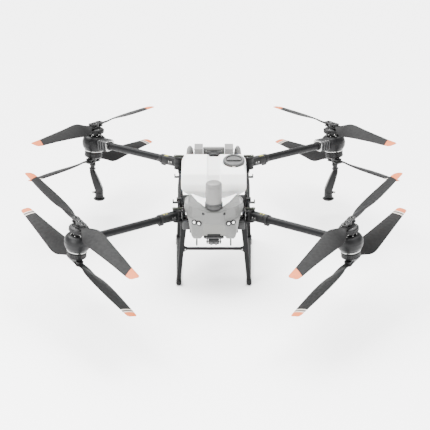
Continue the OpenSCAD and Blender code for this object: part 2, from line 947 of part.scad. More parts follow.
// A socket block, a leg, a skid tube and the stubs that hold the cross bars
module landing_gear() {
    color("#2b2c2e") {
        bar(skid_front(), skid_rear(), skid_r);
        for (end = [skid_front(), skid_rear()])
            translate(end)
                cube([2 * skid_end, 2 * skid_end, 2 * skid_r + 2], center = true);
        bar(skid_front(), leg_front_top(), skid_r + 2);
        translate([leg_front_top()[0] - 16, -hinge_y - base_half, leg_front_top()[2] - 8])
            cube([34, 2 * base_half - 4, front_base_z() - leg_front_top()[2] + 8]);
        bar(skid_rear(), leg_rear_top(), skid_r + 1);
        translate([rail_x - 16, leg_rear_top()[1] - 17, leg_rear_top()[2] - 8])
            cube([32, 34, frame_rear_z - bracket_h / 2 - leg_rear_top()[2] + 8]);
        bar(crossbar_front(), crossbar_front() - [stub_len, 0, 0], crossbar_r + 3);
        bar(crossbar_rear(), crossbar_rear() - [stub_len, 0, 0], crossbar_r + 1.5);
    }
}

module gear_crossbars() {
    color("#2b2c2e")
        for (c = [crossbar_front(), crossbar_rear()])
            bar([stub_len - c[0], c[1], c[2]], [c[0] - stub_len, c[1], c[2]], crossbar_r);
}

// Rubber saddles under the skid tubes, just inside the end blocks
module skid_feet() {
    reach = skid_end + pad_len / 2 + lift_gap;
    run = skid_rear() - skid_front();
    color("#1c1c1d")
        mirrored_pair()
            difference() {
                for (c = [skid_front() + run * reach / run[1], skid_rear() - run * reach / run[1]])
                    translate([c[0], c[1], pad_h / 2])
                        cube([2 * skid_r + 5, pad_len, pad_h], center = true);
                bar(skid_front(), skid_rear(), skid_r);
            }
}

// ---------------------------------------------------------------- nozzles

module nozzle_arm() {
    top = disc_z + disc_h + face_gap;
    color("#3a3b3d") {
        at_pod("rear_right")
            translate([0, 0, -lower_shaft_end("rear_right") - stem_len])
                cylinder(r = nozzle_shaft_r, h = stem_len);
        hull() {
            at_pod("rear_right")
                translate([0, 0, -lower_shaft_end("rear_right") - stem_len - 3])
                    cylinder(r = 20, h = 8, $fn = 32);
            translate([nozzle_x, nozzle_y, top + nozzle_body_h - 4])
                cylinder(r = 30, h = 8, $fn = 32);
        }
        translate([nozzle_x, nozzle_y, top])
            cylinder(r = nozzle_body_r, h = nozzle_body_h);
        translate([nozzle_x, nozzle_y, disc_z + 3])
            cylinder(r = disc_pin_r, h = disc_h);
    }
}

module spray_disc() {
    color("#d9d9d6")
        translate([nozzle_x, nozzle_y, disc_z])
            difference() {
                rotate_extrude($fn = 64)
                    polygon([
                        [0, 0],
                        [disc_r - 8, 0],
                        [disc_r, 6],
                        [disc_r, disc_h - 4],
                        [disc_r - 4, disc_h],
                        [0, disc_h],
                    ]);
                translate([0, 0, 3])
                    cylinder(r = disc_pin_r + run_gap, h = disc_h);
            }
}

// ---------------------------------------------------------------- nodes

main_frame();
tank();
tank_cap();
nose_shell();
avionics_box();
radar_dome();
radar_ring();
headlights();
vision_cameras();
camera_bracket();
fpv_camera();
antenna_rods();
battery();
battery_bay();
position_antennas();
gear_crossbars();
skid_feet();
pumps();
for (s = REAR_SIDES) {
    on_side(is_left(s)) landing_gear();
    on_side(is_left(s)) nozzle_arm();
    on_side(is_left(s)) spray_disc();
}
for (a = ARMS) {
    arm_tube(a);
    pod(a);
    rotor_upper(a);
    rotor_lower(a);
    lock_lever(a);
    blade_of(a, true, 0);
    blade_of(a, true, 180);
    blade_of(a, false, 0);
    blade_of(a, false, 180);
}
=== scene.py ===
"""Looks of a folding-arm crop-spraying drone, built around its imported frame.

Lengths are metres. The front of the drone faces -Y and +X is the drone's side
that a viewer in front of it sees on the right.
"""

import json
import logging
import math
from dataclasses import dataclass, field
from enum import Enum
from typing import Callable, Sequence

import bmesh
import bpy
from mathutils import Matrix, Vector


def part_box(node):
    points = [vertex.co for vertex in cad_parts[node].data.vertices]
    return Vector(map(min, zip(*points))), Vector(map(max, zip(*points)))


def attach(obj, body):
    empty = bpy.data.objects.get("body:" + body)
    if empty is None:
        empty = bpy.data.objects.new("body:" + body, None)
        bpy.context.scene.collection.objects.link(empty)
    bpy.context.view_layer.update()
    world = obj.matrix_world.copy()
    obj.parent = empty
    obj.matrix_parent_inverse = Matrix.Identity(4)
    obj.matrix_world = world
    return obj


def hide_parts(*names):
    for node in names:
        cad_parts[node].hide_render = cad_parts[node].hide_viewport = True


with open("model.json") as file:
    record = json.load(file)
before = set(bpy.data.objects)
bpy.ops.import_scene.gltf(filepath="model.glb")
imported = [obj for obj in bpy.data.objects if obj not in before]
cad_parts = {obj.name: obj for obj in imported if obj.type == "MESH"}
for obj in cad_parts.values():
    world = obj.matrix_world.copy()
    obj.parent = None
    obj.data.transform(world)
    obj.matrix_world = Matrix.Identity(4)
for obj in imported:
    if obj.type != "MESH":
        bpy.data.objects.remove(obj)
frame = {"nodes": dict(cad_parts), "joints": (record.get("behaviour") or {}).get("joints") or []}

LOG = logging.getLogger("spray_drone")
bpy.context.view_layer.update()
JOINTS = {j["name"]: j for j in frame["joints"]}
AIRFRAME = "airframe"
OWN_PLACE = "own_place"

Pair = tuple[float, float]
Triple = tuple[float, float, float]
Points = list[Pair]
Profile = Sequence[Pair]
Socket = bpy.types.NodeSocket
Piece = bpy.types.Object
Place = Matrix | None


class End(Enum):
    """Which end of the drone an arm is at."""

    FRONT = "front"
    REAR = "rear"


class Side(Enum):
    """Which side of the drone a piece is on; the value is the sign of X."""

    LEFT = -1
    RIGHT = 1

    @property
    def word(self) -> str:
        """The side's name as the frame writes it."""
        return self.name.lower()


class Level(Enum):
    """Which propeller of a stacked pair."""

    UPPER = "upper"
    LOWER = "lower"


class TipBand(Enum):
    """How a blade's tip is painted."""

    SLANTED = "slanted"
    STRIPED = "striped"


# ---- finishes


class Nodes:
    """A short way to add and join the nodes of one material."""

    def __init__(self, name: str) -> None:
        """Starts an empty material.

        Args:
            name: The material's name.
        """
        self.material = bpy.data.materials.new(name)
        self.material.use_nodes = True
        self.tree = self.material.node_tree
        self.tree.nodes.clear()
        self.shader = self.add("ShaderNodeBsdfPrincipled")
        output = self.add("ShaderNodeOutputMaterial")
        self.join(self.shader.outputs["BSDF"], output.inputs["Surface"])

    def add(self, kind: str, **settings: object) -> bpy.types.Node:
        """Adds a node.

        Args:
            kind: The node's type name.
            settings: Attributes to set on it.

        Returns:
            The new node.
        """
        node = self.tree.nodes.new(kind)
        for key, value in settings.items():
            setattr(node, key, value)
        return node

    def join(self, out: Socket, into: Socket) -> None:
        """Links an output to an input."""
        self.tree.links.new(out, into)

    def own(self) -> Socket:
        """The coordinates of the piece's own frame, which turns with the piece."""
        return self.add("ShaderNodeAttribute", attribute_name=OWN_PLACE).outputs["Vector"]

    def noise(self, place: Socket, scale: float, detail: float = 2.0) -> Socket:
        """Noise of one scale.

        Args:
            place: The coordinates.
            scale: Features per metre, roughly.
            detail: Octaves.

        Returns:
            The noise's factor, 0 to 1.
        """
        node = self.add("ShaderNodeTexNoise")
        node.inputs["Scale"].default_value = scale
        node.inputs["Detail"].default_value = detail
        self.join(place, node.inputs["Vector"])
        return node.outputs["Fac"]

    def remap(self, value: Socket, lows: Pair, to: Pair) -> Socket:
        """Maps one span of values on to another, clamped.

        Args:
            value: The input.
            lows: Its span.
            to: The span it becomes.

        Returns:
            The mapped value.
        """
        node = self.add("ShaderNodeMapRange")
        self.join(value, node.inputs["Value"])
        for key, number in zip(("From Min", "From Max", "To Min", "To Max"), (*lows, *to)):
            node.inputs[key].default_value = number
        return node.outputs["Result"]

    def blend(self, factor: Socket, low: "Paint", high: "Paint") -> Socket:
        """Mixes two colours.

        Args:
            factor: 0 for low, 1 for high.
            low: A colour or a socket that gives one.
            high: A colour or a socket that gives one.

        Returns:
            The mixed colour.
        """
        node = self.add("ShaderNodeMix", data_type="RGBA")
        self.join(factor, node.inputs["Factor"])
        for key, paint in (("A", low), ("B", high)):
            socket = next(s for s in node.inputs if s.name == key and s.type == "RGBA")
            if isinstance(paint, tuple):
                socket.default_value = (*paint, 1.0)
            else:
                self.join(paint, socket)
        return next(s for s in node.outputs if s.type == "RGBA")

    def math(self, what: str, a: object, b: object = 0.0) -> Socket:
        """One arithmetic step.

        Args:
            what: The operation's name.
            a: A socket or a number.
            b: A socket or a number.

        Returns:
            The result.
        """
        node = self.add("ShaderNodeMath", operation=what)
        for socket, value in zip(node.inputs, (a, b)):
            if isinstance(value, float):
                socket.default_value = value
            else:
                self.join(value, socket)
        return node.outputs[0]

    def bump(self, height: Socket, depth: float, strength: float) -> None:
        """Raises the surface by a height map.

        Args:
            height: The map, 0 to 1.
            depth: Its full height in metres.
            strength: How much of it shows, 0 to 1.
        """
        node = self.add("ShaderNodeBump")
        node.inputs["Strength"].default_value = strength
        node.inputs["Distance"].default_value = depth
        self.join(height, node.inputs["Height"])
        self.join(node.outputs["Normal"], self.shader.inputs["Normal"])

    def set(self, **sockets: float) -> None:
        """Sets plain values on the shader, with _ for spaces in their names."""
        for key, value in sockets.items():
            self.shader.inputs[key.replace("_", " ")].default_value = value


Colour = Triple
Paint = Colour | Socket


@dataclass(frozen=True)
class Finish:
    """A moulded, painted or machined surface.

    Attributes:
        name: The finish's name.
        colour: Its own colour.
        rough: Mean roughness.
        metal: 1 for bare metal.
        grain: Fine bumps per metre.
        depth: Height of the fine bumps in metres.
        mottle: How far the colour drifts from place to place.
        rub: How much paler the worn edges are.
        coat: Weight of a clear coat.
        shine: Strength of the mirror light at a straight look.
    """

    name: str
    colour: Colour
    rough: float = 0.5
    metal: float = 0.0
    grain: float = 900.0
    depth: float = 0.00012
    mottle: float = 0.12
    rub: float = 0.25
    coat: float = 0.0
    shine: float = 0.5

    def scaled(self, factor: float) -> Colour:
        """The colour, lighter or darker."""
        return tuple(min(1.0, channel * factor) for channel in self.colour)

    def base(self, nodes: Nodes, place: Socket) -> Socket:
        """The colour with its drift and its worn edges.

        Args:
            nodes: The material's nodes.
            place: Object coordinates.

        Returns:
            The colour socket.
        """
        drift = nodes.noise(place, 9.0, 4.0)
        spread = nodes.remap(drift, (0.3, 0.7), (0.0, 1.0))
        tone = nodes.blend(spread, self.scaled(1 - self.mottle), self.scaled(1 + self.mottle))
        edge = nodes.add("ShaderNodeNewGeometry").outputs["Pointiness"]
        worn = nodes.math(
            "MULTIPLY", nodes.remap(edge, (0.52, 0.64), (0.0, self.rub)), nodes.noise(place, 140.0, 3.0)
        )
        return nodes.blend(worn, tone, (0.75, 0.75, 0.74))

    def relief(self, nodes: Nodes, place: Socket) -> Socket:
        """The height map of the fine surface."""
        return nodes.noise(place, self.grain, 2.0)

    def make(self) -> bpy.types.Material:
        """Builds the material, or gives the one already built.

        Returns:
            The material.
        """
        known = bpy.data.materials.get(f"finish_{self.name}")
        if known:
            return known
        nodes = Nodes(f"finish_{self.name}")
        place = nodes.add("ShaderNodeTexCoord").outputs["Object"]
        nodes.join(self.base(nodes, place), nodes.shader.inputs["Base Color"])
        smear = nodes.noise(place, 55.0, 5.0)
        gloss = nodes.remap(smear, (0.25, 0.75), (self.rough * 0.82, min(1.0, self.rough * 1.18)))
        nodes.join(gloss, nodes.shader.inputs["Roughness"])
        nodes.set(Metallic=self.metal, Coat_Weight=self.coat, Specular_IOR_Level=self.shine)
        nodes.bump(self.relief(nodes, place), self.depth, 0.6)
        self.extra(nodes)
        return nodes.material

    def extra(self, nodes: Nodes) -> None:
        """Anything that only this kind of finish needs."""


@dataclass(frozen=True)
class WovenCarbon(Finish):
    """Twill carbon cloth round a tube that lies along the piece's own X."""

    tow: float = 0.0022

    def relief(self, nodes: Nodes, place: Socket) -> Socket:
        """Crossing tows, as a checker of their width laid round the tube.

        Args:
            nodes: The material's nodes.
            place: The coordinates; not used.

        Returns:
            The height map.
        """
        split = nodes.add("ShaderNodeSeparateXYZ")
        nodes.join(nodes.own(), split.inputs["Vector"])
        turn = nodes.math("ARCTAN2", split.outputs["Z"], split.outputs["Y"])
        around = nodes.math("MULTIPLY", turn, 0.023)
        twill = nodes.math("ADD", split.outputs["X"], nodes.math("MULTIPLY", around, 0.5))
        flat = nodes.add("ShaderNodeCombineXYZ")
        nodes.join(twill, flat.inputs["X"])
        nodes.join(around, flat.inputs["Y"])
        checker = nodes.add("ShaderNodeTexChecker")
        checker.inputs["Scale"].default_value = 1 / (2 * self.tow)
        nodes.join(flat.outputs["Vector"], checker.inputs["Vector"])
        return checker.outputs["Fac"]


@dataclass(frozen=True)
class FibreNylon(Finish):
    """Glass-filled nylon whose fibres run along the piece's own X."""

    def relief(self, nodes: Nodes, place: Socket) -> Socket:
        """Noise drawn out along the blade.

        Args:
            nodes: The material's nodes.
            place: The coordinates; not used.

        Returns:
            The height map.
        """
        stretch = nodes.add("ShaderNodeMapping")
        stretch.inputs["Scale"].default_value = (0.08, 1.0, 1.0)
        nodes.join(nodes.own(), stretch.inputs["Vector"])
        return nodes.noise(stretch.outputs["Vector"], self.grain, 4.0)


@dataclass(frozen=True)
class MilkyPlastic(Finish):
    """Blow-moulded polyethylene that lets a little light in."""

    def extra(self, nodes: Nodes) -> None:
        """A thin glow under the skin."""
        nodes.set(Subsurface_Weight=0.12, Subsurface_Scale=0.01)


@dataclass(frozen=True)
class ClearLens(Finish):
    """A lamp's or camera's polished front."""

    def extra(self, nodes: Nodes) -> None:
        """Full coat and the IOR of glass."""
        nodes.set(Coat_Weight=1.0, Coat_Roughness=0.03, IOR=1.5)


BLACK = Finish("black_nylon", (0.0030, 0.0031, 0.0034), 0.52, grain=1500, depth=0.0001, rub=0.04, shine=0.16)
POD = Finish("pod_shell", (0.0045, 0.0046, 0.0050), 0.44, grain=1800, depth=0.00008, rub=0.04, shine=0.2)
MOTOR = Finish("anodised_motor", (0.0040, 0.0040, 0.0043), 0.38, metal=0.2, grain=700, rub=0.06, shine=0.22)
CAST = Finish(
    "cast_grey", (0.017, 0.0175, 0.018), 0.5, metal=0.1, grain=1100, depth=0.0002, rub=0.1, shine=0.3
)
OLIVE = Finish(
    "cast_olive", (0.024, 0.027, 0.017), 0.46, metal=0.1, grain=1100, depth=0.0002, rub=0.1, shine=0.3
)
STEEL = Finish(
    "bright_steel", (0.42, 0.42, 0.41), 0.26, metal=1.0, grain=500, depth=0.00003, mottle=0.05, rub=0.0
)
CARBON = WovenCarbon("carbon_tube", (0.0042, 0.0043, 0.0047), 0.45, depth=0.00012, rub=0.0, shine=0.12)
BLADE = FibreNylon(
    "blade_nylon", (0.0062, 0.0062, 0.0063), 0.55, grain=700, depth=0.00012, mottle=0.1, rub=0.02, shine=0.1
)
TIP_ORANGE = Finish("tip_orange", (0.47, 0.105, 0.022), 0.5, mottle=0.06, rub=0.0, shine=0.3)
TIP_PALE = Finish("tip_white", (0.50, 0.47, 0.42), 0.5, mottle=0.04, rub=0.0, shine=0.3)
TIP_DARK = Finish("tip_brown", (0.03, 0.013, 0.011), 0.5, mottle=0.06, rub=0.0, shine=0.3)
TANK = MilkyPlastic(
    "tank_plastic", (0.80, 0.80, 0.785), 0.36, grain=500, depth=0.0001, mottle=0.014, rub=0.02, shine=0.4
)
# Darker white for the tank's middle channel: painted shade in the recess.
TANK_CHANNEL_SHADE = MilkyPlastic(
    "tank_recess", (0.62, 0.62, 0.61), 0.4, grain=500, depth=0.0001, mottle=0.02, rub=0.0, shine=0.4
)
CAP = Finish("cap_grey", (0.030, 0.030, 0.030), 0.5, grain=1300, depth=0.00015, rub=0.1, shine=0.35)
SHELL = Finish(
    "shell_paint", (0.105, 0.106, 0.102), 0.42, grain=1000, depth=0.00008, mottle=0.03, rub=0.06, coat=0.08,
    shine=0.4
)
SHELL_PALE = Finish(
    "shell_paint_pale", (0.118, 0.119, 0.110), 0.42, grain=1000, depth=0.00008, mottle=0.03, rub=0.03,
    coat=0.08, shine=0.4
)
# Darker grey for the shell's upward-facing top: painted shade.
SHELL_TOP_SHADE = Finish(
    "shell_paint_deep", (0.066, 0.067, 0.064), 0.46, grain=1000, depth=0.00008, mottle=0.03, rub=0.04,
    shine=0.3
)
RADOME = Finish(
    "radome", (0.130, 0.128, 0.124), 0.4, grain=900, depth=0.00006, mottle=0.03, rub=0.04, shine=0.4
)
RING = Finish("ring_grey", (0.022, 0.022, 0.022), 0.5, grain=1300, rub=0.08, shine=0.35)
BATTERY = Finish(
    "battery_case", (0.085, 0.084, 0.081), 0.48, grain=1300, depth=0.00015, mottle=0.05, rub=0.06, shine=0.4
)
GREY = Finish(
    "bay_moulding", (0.125, 0.124, 0.121), 0.5, grain=1300, depth=0.00015, mottle=0.05, rub=0.06, shine=0.4
)
RUBBER = Finish("black_rubber", (0.0035, 0.0035, 0.0035), 0.72, grain=1600, depth=0.0002, rub=0.04, shine=0.2)
LAMP = ClearLens("lamp_lens", (0.75, 0.75, 0.74), 0.12, rub=0.0, mottle=0.03)
OPTIC = ClearLens("camera_lens", (0.004, 0.004, 0.006), 0.08, rub=0.0)
YELLOW = Finish("yellow_band", (0.30, 0.28, 0.03), 0.5, mottle=0.06, rub=0.0, shine=0.3)
DISC = Finish("disc_pale", (0.22, 0.22, 0.21), 0.45, mottle=0.05, rub=0.05)


# ---- mesh work


def place_axes(origin: Vector, x_way: Vector, z_axis: Vector) -> Matrix:
    """A frame from an origin, an axis and the way that X leans.

    Args:
        origin: Where the frame stands.
        x_way: X as near to this as the axis allows.
        z_axis: The frame's Z.

    Returns:
        The matrix from that frame to the drone's.
    """
    z = z_axis.normalized()
    y = z.cross(x_way).normalized()
    x = y.cross(z)
    return shift(*origin) @ Matrix((x, y, z)).transposed().to_4x4()


def shift(x: float = 0.0, y: float = 0.0, z: float = 0.0) -> Matrix:
    """A plain move."""
    return Matrix.Translation((x, y, z))


def turn(degrees: float, axis: str) -> Matrix:
    """A turn about one axis."""
    return Matrix.Rotation(math.radians(degrees), 4, axis)


def step(value: float, low: float, high: float) -> float:
    """Smooth rise from 0 at low to 1 at high."""
    k = max(0.0, min(1.0, (value - low) / (high - low)))
    return k * k * (3 - 2 * k)


def rounded(points: Profile, radius: float, pieces: int = 5) -> Points:
    """A closed outline with its corners rounded.

    Args:
        points: The corners in order.
        radius: The corner radius wanted; a short side limits it.
        pieces: Chords in each corner.

    Returns:
        The rounded outline.
    """
    out = []
    count = len(points)
    for i in range(count):
        before, here, after = (Vector(points[(i + k) % count]) for k in (-1, 0, 1))
        a, b = (before - here), (after - here)
        half = a.angle(b) / 2
        reach = min(radius / math.tan(half), 0.48 * a.length, 0.48 * b.length)
        p, q = here + a.normalized() * reach, here + b.normalized() * reach
        for k in range(pieces + 1):
            t = k / pieces
            out.append(tuple(p * (1 - t) ** 2 + here * 2 * t * (1 - t) + q * t**2))
    return out


def mirrored(half: Profile) -> Points:
    """A right-hand outline with its left half added."""
    return list(half) + [(-x, y) for x, y in reversed(half)]


def smooth_profile(points: Profile, pieces: int = 5) -> Points:
    """A Catmull-Rom curve through the points of a lathe profile.

    Args:
        points: The points.
        pieces: Steps between two points.

    Returns:
        The finer profile.
    """
    pts = [Vector(p) for p in points]
    pts = [pts[0] * 2 - pts[1], *pts, pts[-1] * 2 - pts[-2]]
    out = []
    for a, b, c, d in zip(pts, pts[1:], pts[2:], pts[3:]):
        for k in range(pieces):
            t = k / pieces
            v = 0.5 * (
                2 * b + (c - a) * t + (2 * a - 5 * b + 4 * c - d) * t**2 + (3 * b - a - 3 * c + d) * t**3
            )
            out.append((max(v.x, 0.0), v.y))
    out.append(tuple(points[-1]))
    return out


class Work:
    """The mesh of one piece, gathered from simple forms before it is made."""

    def __init__(self, name: str, place: Place = None) -> None:
        """Starts an empty piece.

        Args:
            name: The piece's name.
            place: From the piece's own frame to the drone's.
        """
        self.name = name
        self.place = place or Matrix.Identity(4)
        self.bm = bmesh.new()
        self.finishes: list[Finish] = []

    def paint(self, finish: Finish) -> int:
        """The material index of a finish on this piece.

        Args:
            finish: The finish.

        Returns:
            Its number.
        """
        if finish not in self.finishes:
            self.finishes.append(finish)
        return self.finishes.index(finish)

    def faces(
        self, points: Sequence[Vector], loops: Sequence[Sequence[int]], finish: Finish, at: Place = None
    ) -> None:
        """Adds faces between points.

        Args:
            points: The corner points.
            loops: Each face's corners, by number.
            finish: The finish of these faces.
            at: Its place in the piece.
        """
        at = at or Matrix.Identity(4)
        made = [self.bm.verts.new(at @ Vector(p)) for p in points]
        index = self.paint(finish)
        for loop in loops:
            face = self.bm.faces.new([made[i] for i in loop])
            face.material_index = index

    def loft(
        self, rings: Sequence[Sequence[Vector]], finish: Finish, at: Place = None,
        bands: Sequence[Finish] = ()
    ) -> None:
        """Skins a row of rings and closes both ends.

        Args:
            rings: Rings of equal count.
            finish: The finish.
            at: Its place in the piece.
            bands: A finish for each gap between rings, where they differ.
        """
        at = at or Matrix.Identity(4)
        made = [[self.bm.verts.new(at @ Vector(p)) for p in ring] for ring in rings]
        count = len(made[0])
        for row, (low, high) in enumerate(zip(made, made[1:])):
            index = self.paint(bands[row] if bands else finish)
            for j in range(count):
                k = (j + 1) % count
                self.bm.faces.new((low[j], low[k], high[k], high[j])).material_index = index
        self.bm.faces.new(made[0][::-1]).material_index = self.paint(bands[0] if bands else finish)
        self.bm.faces.new(made[-1]).material_index = self.paint(bands[-1] if bands else finish)

    def lathe(self, profile: Profile, finish: Finish, at: Place = None, sides: int = 64) -> None:
        """Turns a profile of (radius, height) about Z; a radius of 0 becomes a tiny flat cap.

        Args:
            profile: From one end to the other.
            finish: The finish.
            at: Its place in the piece.
            sides: Chords in a turn.
        """
        tiny = 1e-5
        rings = [
            [
                Vector((max(r, tiny) * math.cos(a), max(r, tiny) * math.sin(a), z))
                for a in (2 * math.pi * k / sides for k in range(sides))
            ]
            for r, z in profile
        ]
        self.loft(rings, finish, at)

    def drum(
        self, radius: float, low: float, high: float, finish: Finish, at: Place = None, sides: int = 64,
    ) -> None:
        """A plain round disc or bar along Z.

        Args:
            radius: Its radius.
            low: Start height.
            high: End height.
            finish: The finish.
            at: Its place in the piece.
            sides: Chords in a turn.
        """
        self.lathe([(0, low), (radius, low), (radius, high), (0, high)], finish, at, sides)

    def prism(
        self, outline: Profile, low: float, high: float, finish: Finish, at: Place = None, edge: float = 0.0
    ) -> None:
        """Pushes an outline along Z, with a small chamfer on both rims.

        Args:
            outline: The outline in X and Y.
            low: Start height.
            high: End height.
            finish: The finish.
            at: Its place in the piece.
            edge: Size of the chamfer.
        """
        middle = sum((Vector(p) for p in outline), Vector((0, 0))) / len(outline)

        def ring(z: float, inset: float) -> list[Vector]:
            """The outline at a height, drawn in a little towards its middle.

            Args:
                z: The height.
                inset: How far it is drawn in.

            Returns:
                The points.
            """
            out = []
            for p in outline:
                arm = Vector(p) - middle
                keep = max(0.0, 1 - inset / max(arm.length, 1e-6))
                out.append(Vector((*(middle + arm * keep), z)))
            return out

        rings = [
            ring(low, edge), ring(low + edge, 0), ring(high - edge, 0), ring(high, edge)
        ] if edge else [ring(low, 0), ring(high, 0)]
        self.loft(rings, finish, at)

    def block(
        self, size: Triple, finish: Finish, at: Place = None, edge: float = 0.002, sides: int = 3
    ) -> None:
        """A box with rounded edges.

        Args:
            size: Its full size.
            finish: The finish.
            at: From the box's middle to the piece's frame.
            edge: Radius of its edges.
            sides: Chords across an edge.
        """
        part = bmesh.new()
        bmesh.ops.create_cube(part, size=1.0, matrix=Matrix.Diagonal((*size, 1.0)))
        bmesh.ops.bevel(
            part, geom=part.edges[:], offset=edge, segments=sides, profile=0.5, affect="EDGES",
            clamp_overlap=True
        )
        part.verts.ensure_lookup_table()
        self.faces(
            [v.co.copy() for v in part.verts], [[v.index for v in f.verts] for f in part.faces], finish, at
        )
        part.free()

    def rod(
        self, start: Vector, end: Vector, radius: float, finish: Finish, end_radius: float | None = None,
        sides: int = 32
    ) -> None:
        """A round bar between two points, with soft rims.

        Args:
            start: Its first end.
            end: Its other end.
            radius: Radius at the first end.
            finish: The finish.
            end_radius: Radius at the other end, where it tapers.
            sides: Chords in a turn.
        """
        start, end = Vector(start), Vector(end)
        way = end - start
        last = end_radius or radius
        lean = Vector((0, 0, 1)) if abs(way.normalized().z) < 0.9 else Vector((1, 0, 0))
        soft = min(radius, last, way.length / 2) * 0.15
        self.lathe(
            [
                (0, 0), (radius - soft, 0), (radius, soft), (last, way.length - soft),
                (last - soft, way.length), (0, way.length)
            ],
            finish, place_axes(start, lean, way), sides,
        )

    def screw(self, at: Matrix, radius: float, height: float, finish: Finish = STEEL) -> None:
        """A socket-head screw that stands on its frame's XY plane.

        Args:
            at: Where it stands.
            radius: Head radius.
            height: Head height.
            finish: The finish.
        """
        r, h = radius, height
        self.lathe(
            [
                (0, -0.2 * h), (r, -0.2 * h), (r, 0.75 * h), (0.85 * r, h), (0.5 * r, h),
                (0.45 * r, 0.45 * h), (0, 0.4 * h)
            ],
            finish, at, 20,
        )

    def screw_circle(
        self, count: int, circle: float, at: Matrix, radius: float, height: float, finish: Finish = STEEL,
        start: float = 0.0
    ) -> None:
        """Screws evenly round a circle.

        Args:
            count: How many.
            circle: The circle's radius.
            at: The circle's frame.
            radius: Head radius.
            height: Head height.
            finish: The finish.
            start: Angle of the first, in degrees.
        """
        for k in range(count):
            self.screw(at @ turn(start + 360 * k / count, "Z") @ shift(circle), radius, height, finish)

    def make(self, body: str, slot: str, replaces: Sequence[str] = (), sharp: float = 32.0) -> Piece:
        """Makes the Blender object and ties it to its body.

        Args:
            body: The body that it rides on.
            slot: The record's material slot; not used.
            replaces: Frame nodes that it stands for.
            sharp: Edges sharper than this many degrees stay crisp.

        Returns:
            The object.
        """
        bmesh.ops.recalc_face_normals(self.bm, faces=self.bm.faces[:])
        mesh = bpy.data.meshes.new(self.name)
        self.bm.to_mesh(mesh)
        self.bm.free()
        own = mesh.attributes.new(OWN_PLACE, "FLOAT_VECTOR", "POINT")
        own.data.foreach_set("vector", [number for vertex in mesh.vertices for number in vertex.co])
        mesh.transform(self.place.to_3x3().to_4x4())
        middle = shift(*self.place.translation)
        return finish_piece(mesh, self.name, self.finishes, middle, body, replaces, sharp)


def placed(name: str, data: bpy.types.ID) -> Piece:
    """Puts data into the scene as a new object.

    Args:
        name: The object's name.
        data: Its mesh, light or camera.

    Returns:
        The object.
    """
    obj = bpy.data.objects.new(name, data)
    bpy.context.scene.collection.objects.link(obj)
    return obj


def finish_piece(
    mesh: bpy.types.Mesh, name: str, finishes: Sequence[Finish], place: Matrix,
    body: str, replaces: Sequence[str] = (), sharp: float = 32.0,
) -> Piece:
    """Gives a mesh its object, finishes and body.

    Args:
        mesh: The mesh.
        name: The object's name.
        finishes: Its finishes in material order.
        place: The object's matrix.
        body: The body that it rides on.
        replaces: Frame nodes that it stands for.
        sharp: Edges sharper than this many degrees stay crisp.

    Returns:
        The object.
    """
    obj = placed(name, mesh)
    for item in finishes:
        mesh.materials.append(item.make())
    mesh.shade_smooth()
    mesh.set_sharp_from_angle(angle=math.radians(sharp))
    obj.matrix_world = place
    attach(obj, body)
    if replaces:
        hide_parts(*replaces)
    LOG.info("made %s: %d faces on %s", name, len(mesh.polygons), body)
    return obj


def softened_node(node: str, finish: Finish, body: str, edge: float = 0.0015) -> Piece:
    """A copy of a frame node with its hard edges eased, which stands for the node.

    Args:
        node: The frame node.
        finish: Its finish.
        body: The body that it rides on.
        edge: Width of the eased edges.

    Returns:
        The new piece.
    """
    bm = bmesh.new()
    bm.from_mesh(frame["nodes"][node].data)
    bmesh.ops.remove_doubles(bm, verts=bm.verts[:], dist=1e-5)
    bmesh.ops.dissolve_limit(bm, angle_limit=math.radians(0.6), verts=bm.verts[:], edges=bm.edges[:])
    for face in bm.faces:
        face.material_index = 0
    mesh = bpy.data.meshes.new(f"{node}_soft")
    bm.to_mesh(mesh)
    bm.free()
    piece = finish_piece(mesh, f"{node}_soft", [finish], Matrix.Identity(4), body, [node], 40)
    ease = piece.modifiers.new("ease", "BEVEL")
    ease.width = edge
    ease.segments = 2
    ease.limit_method = "ANGLE"
    ease.angle_limit = math.radians(40)
    ease.harden_normals = True
    return piece


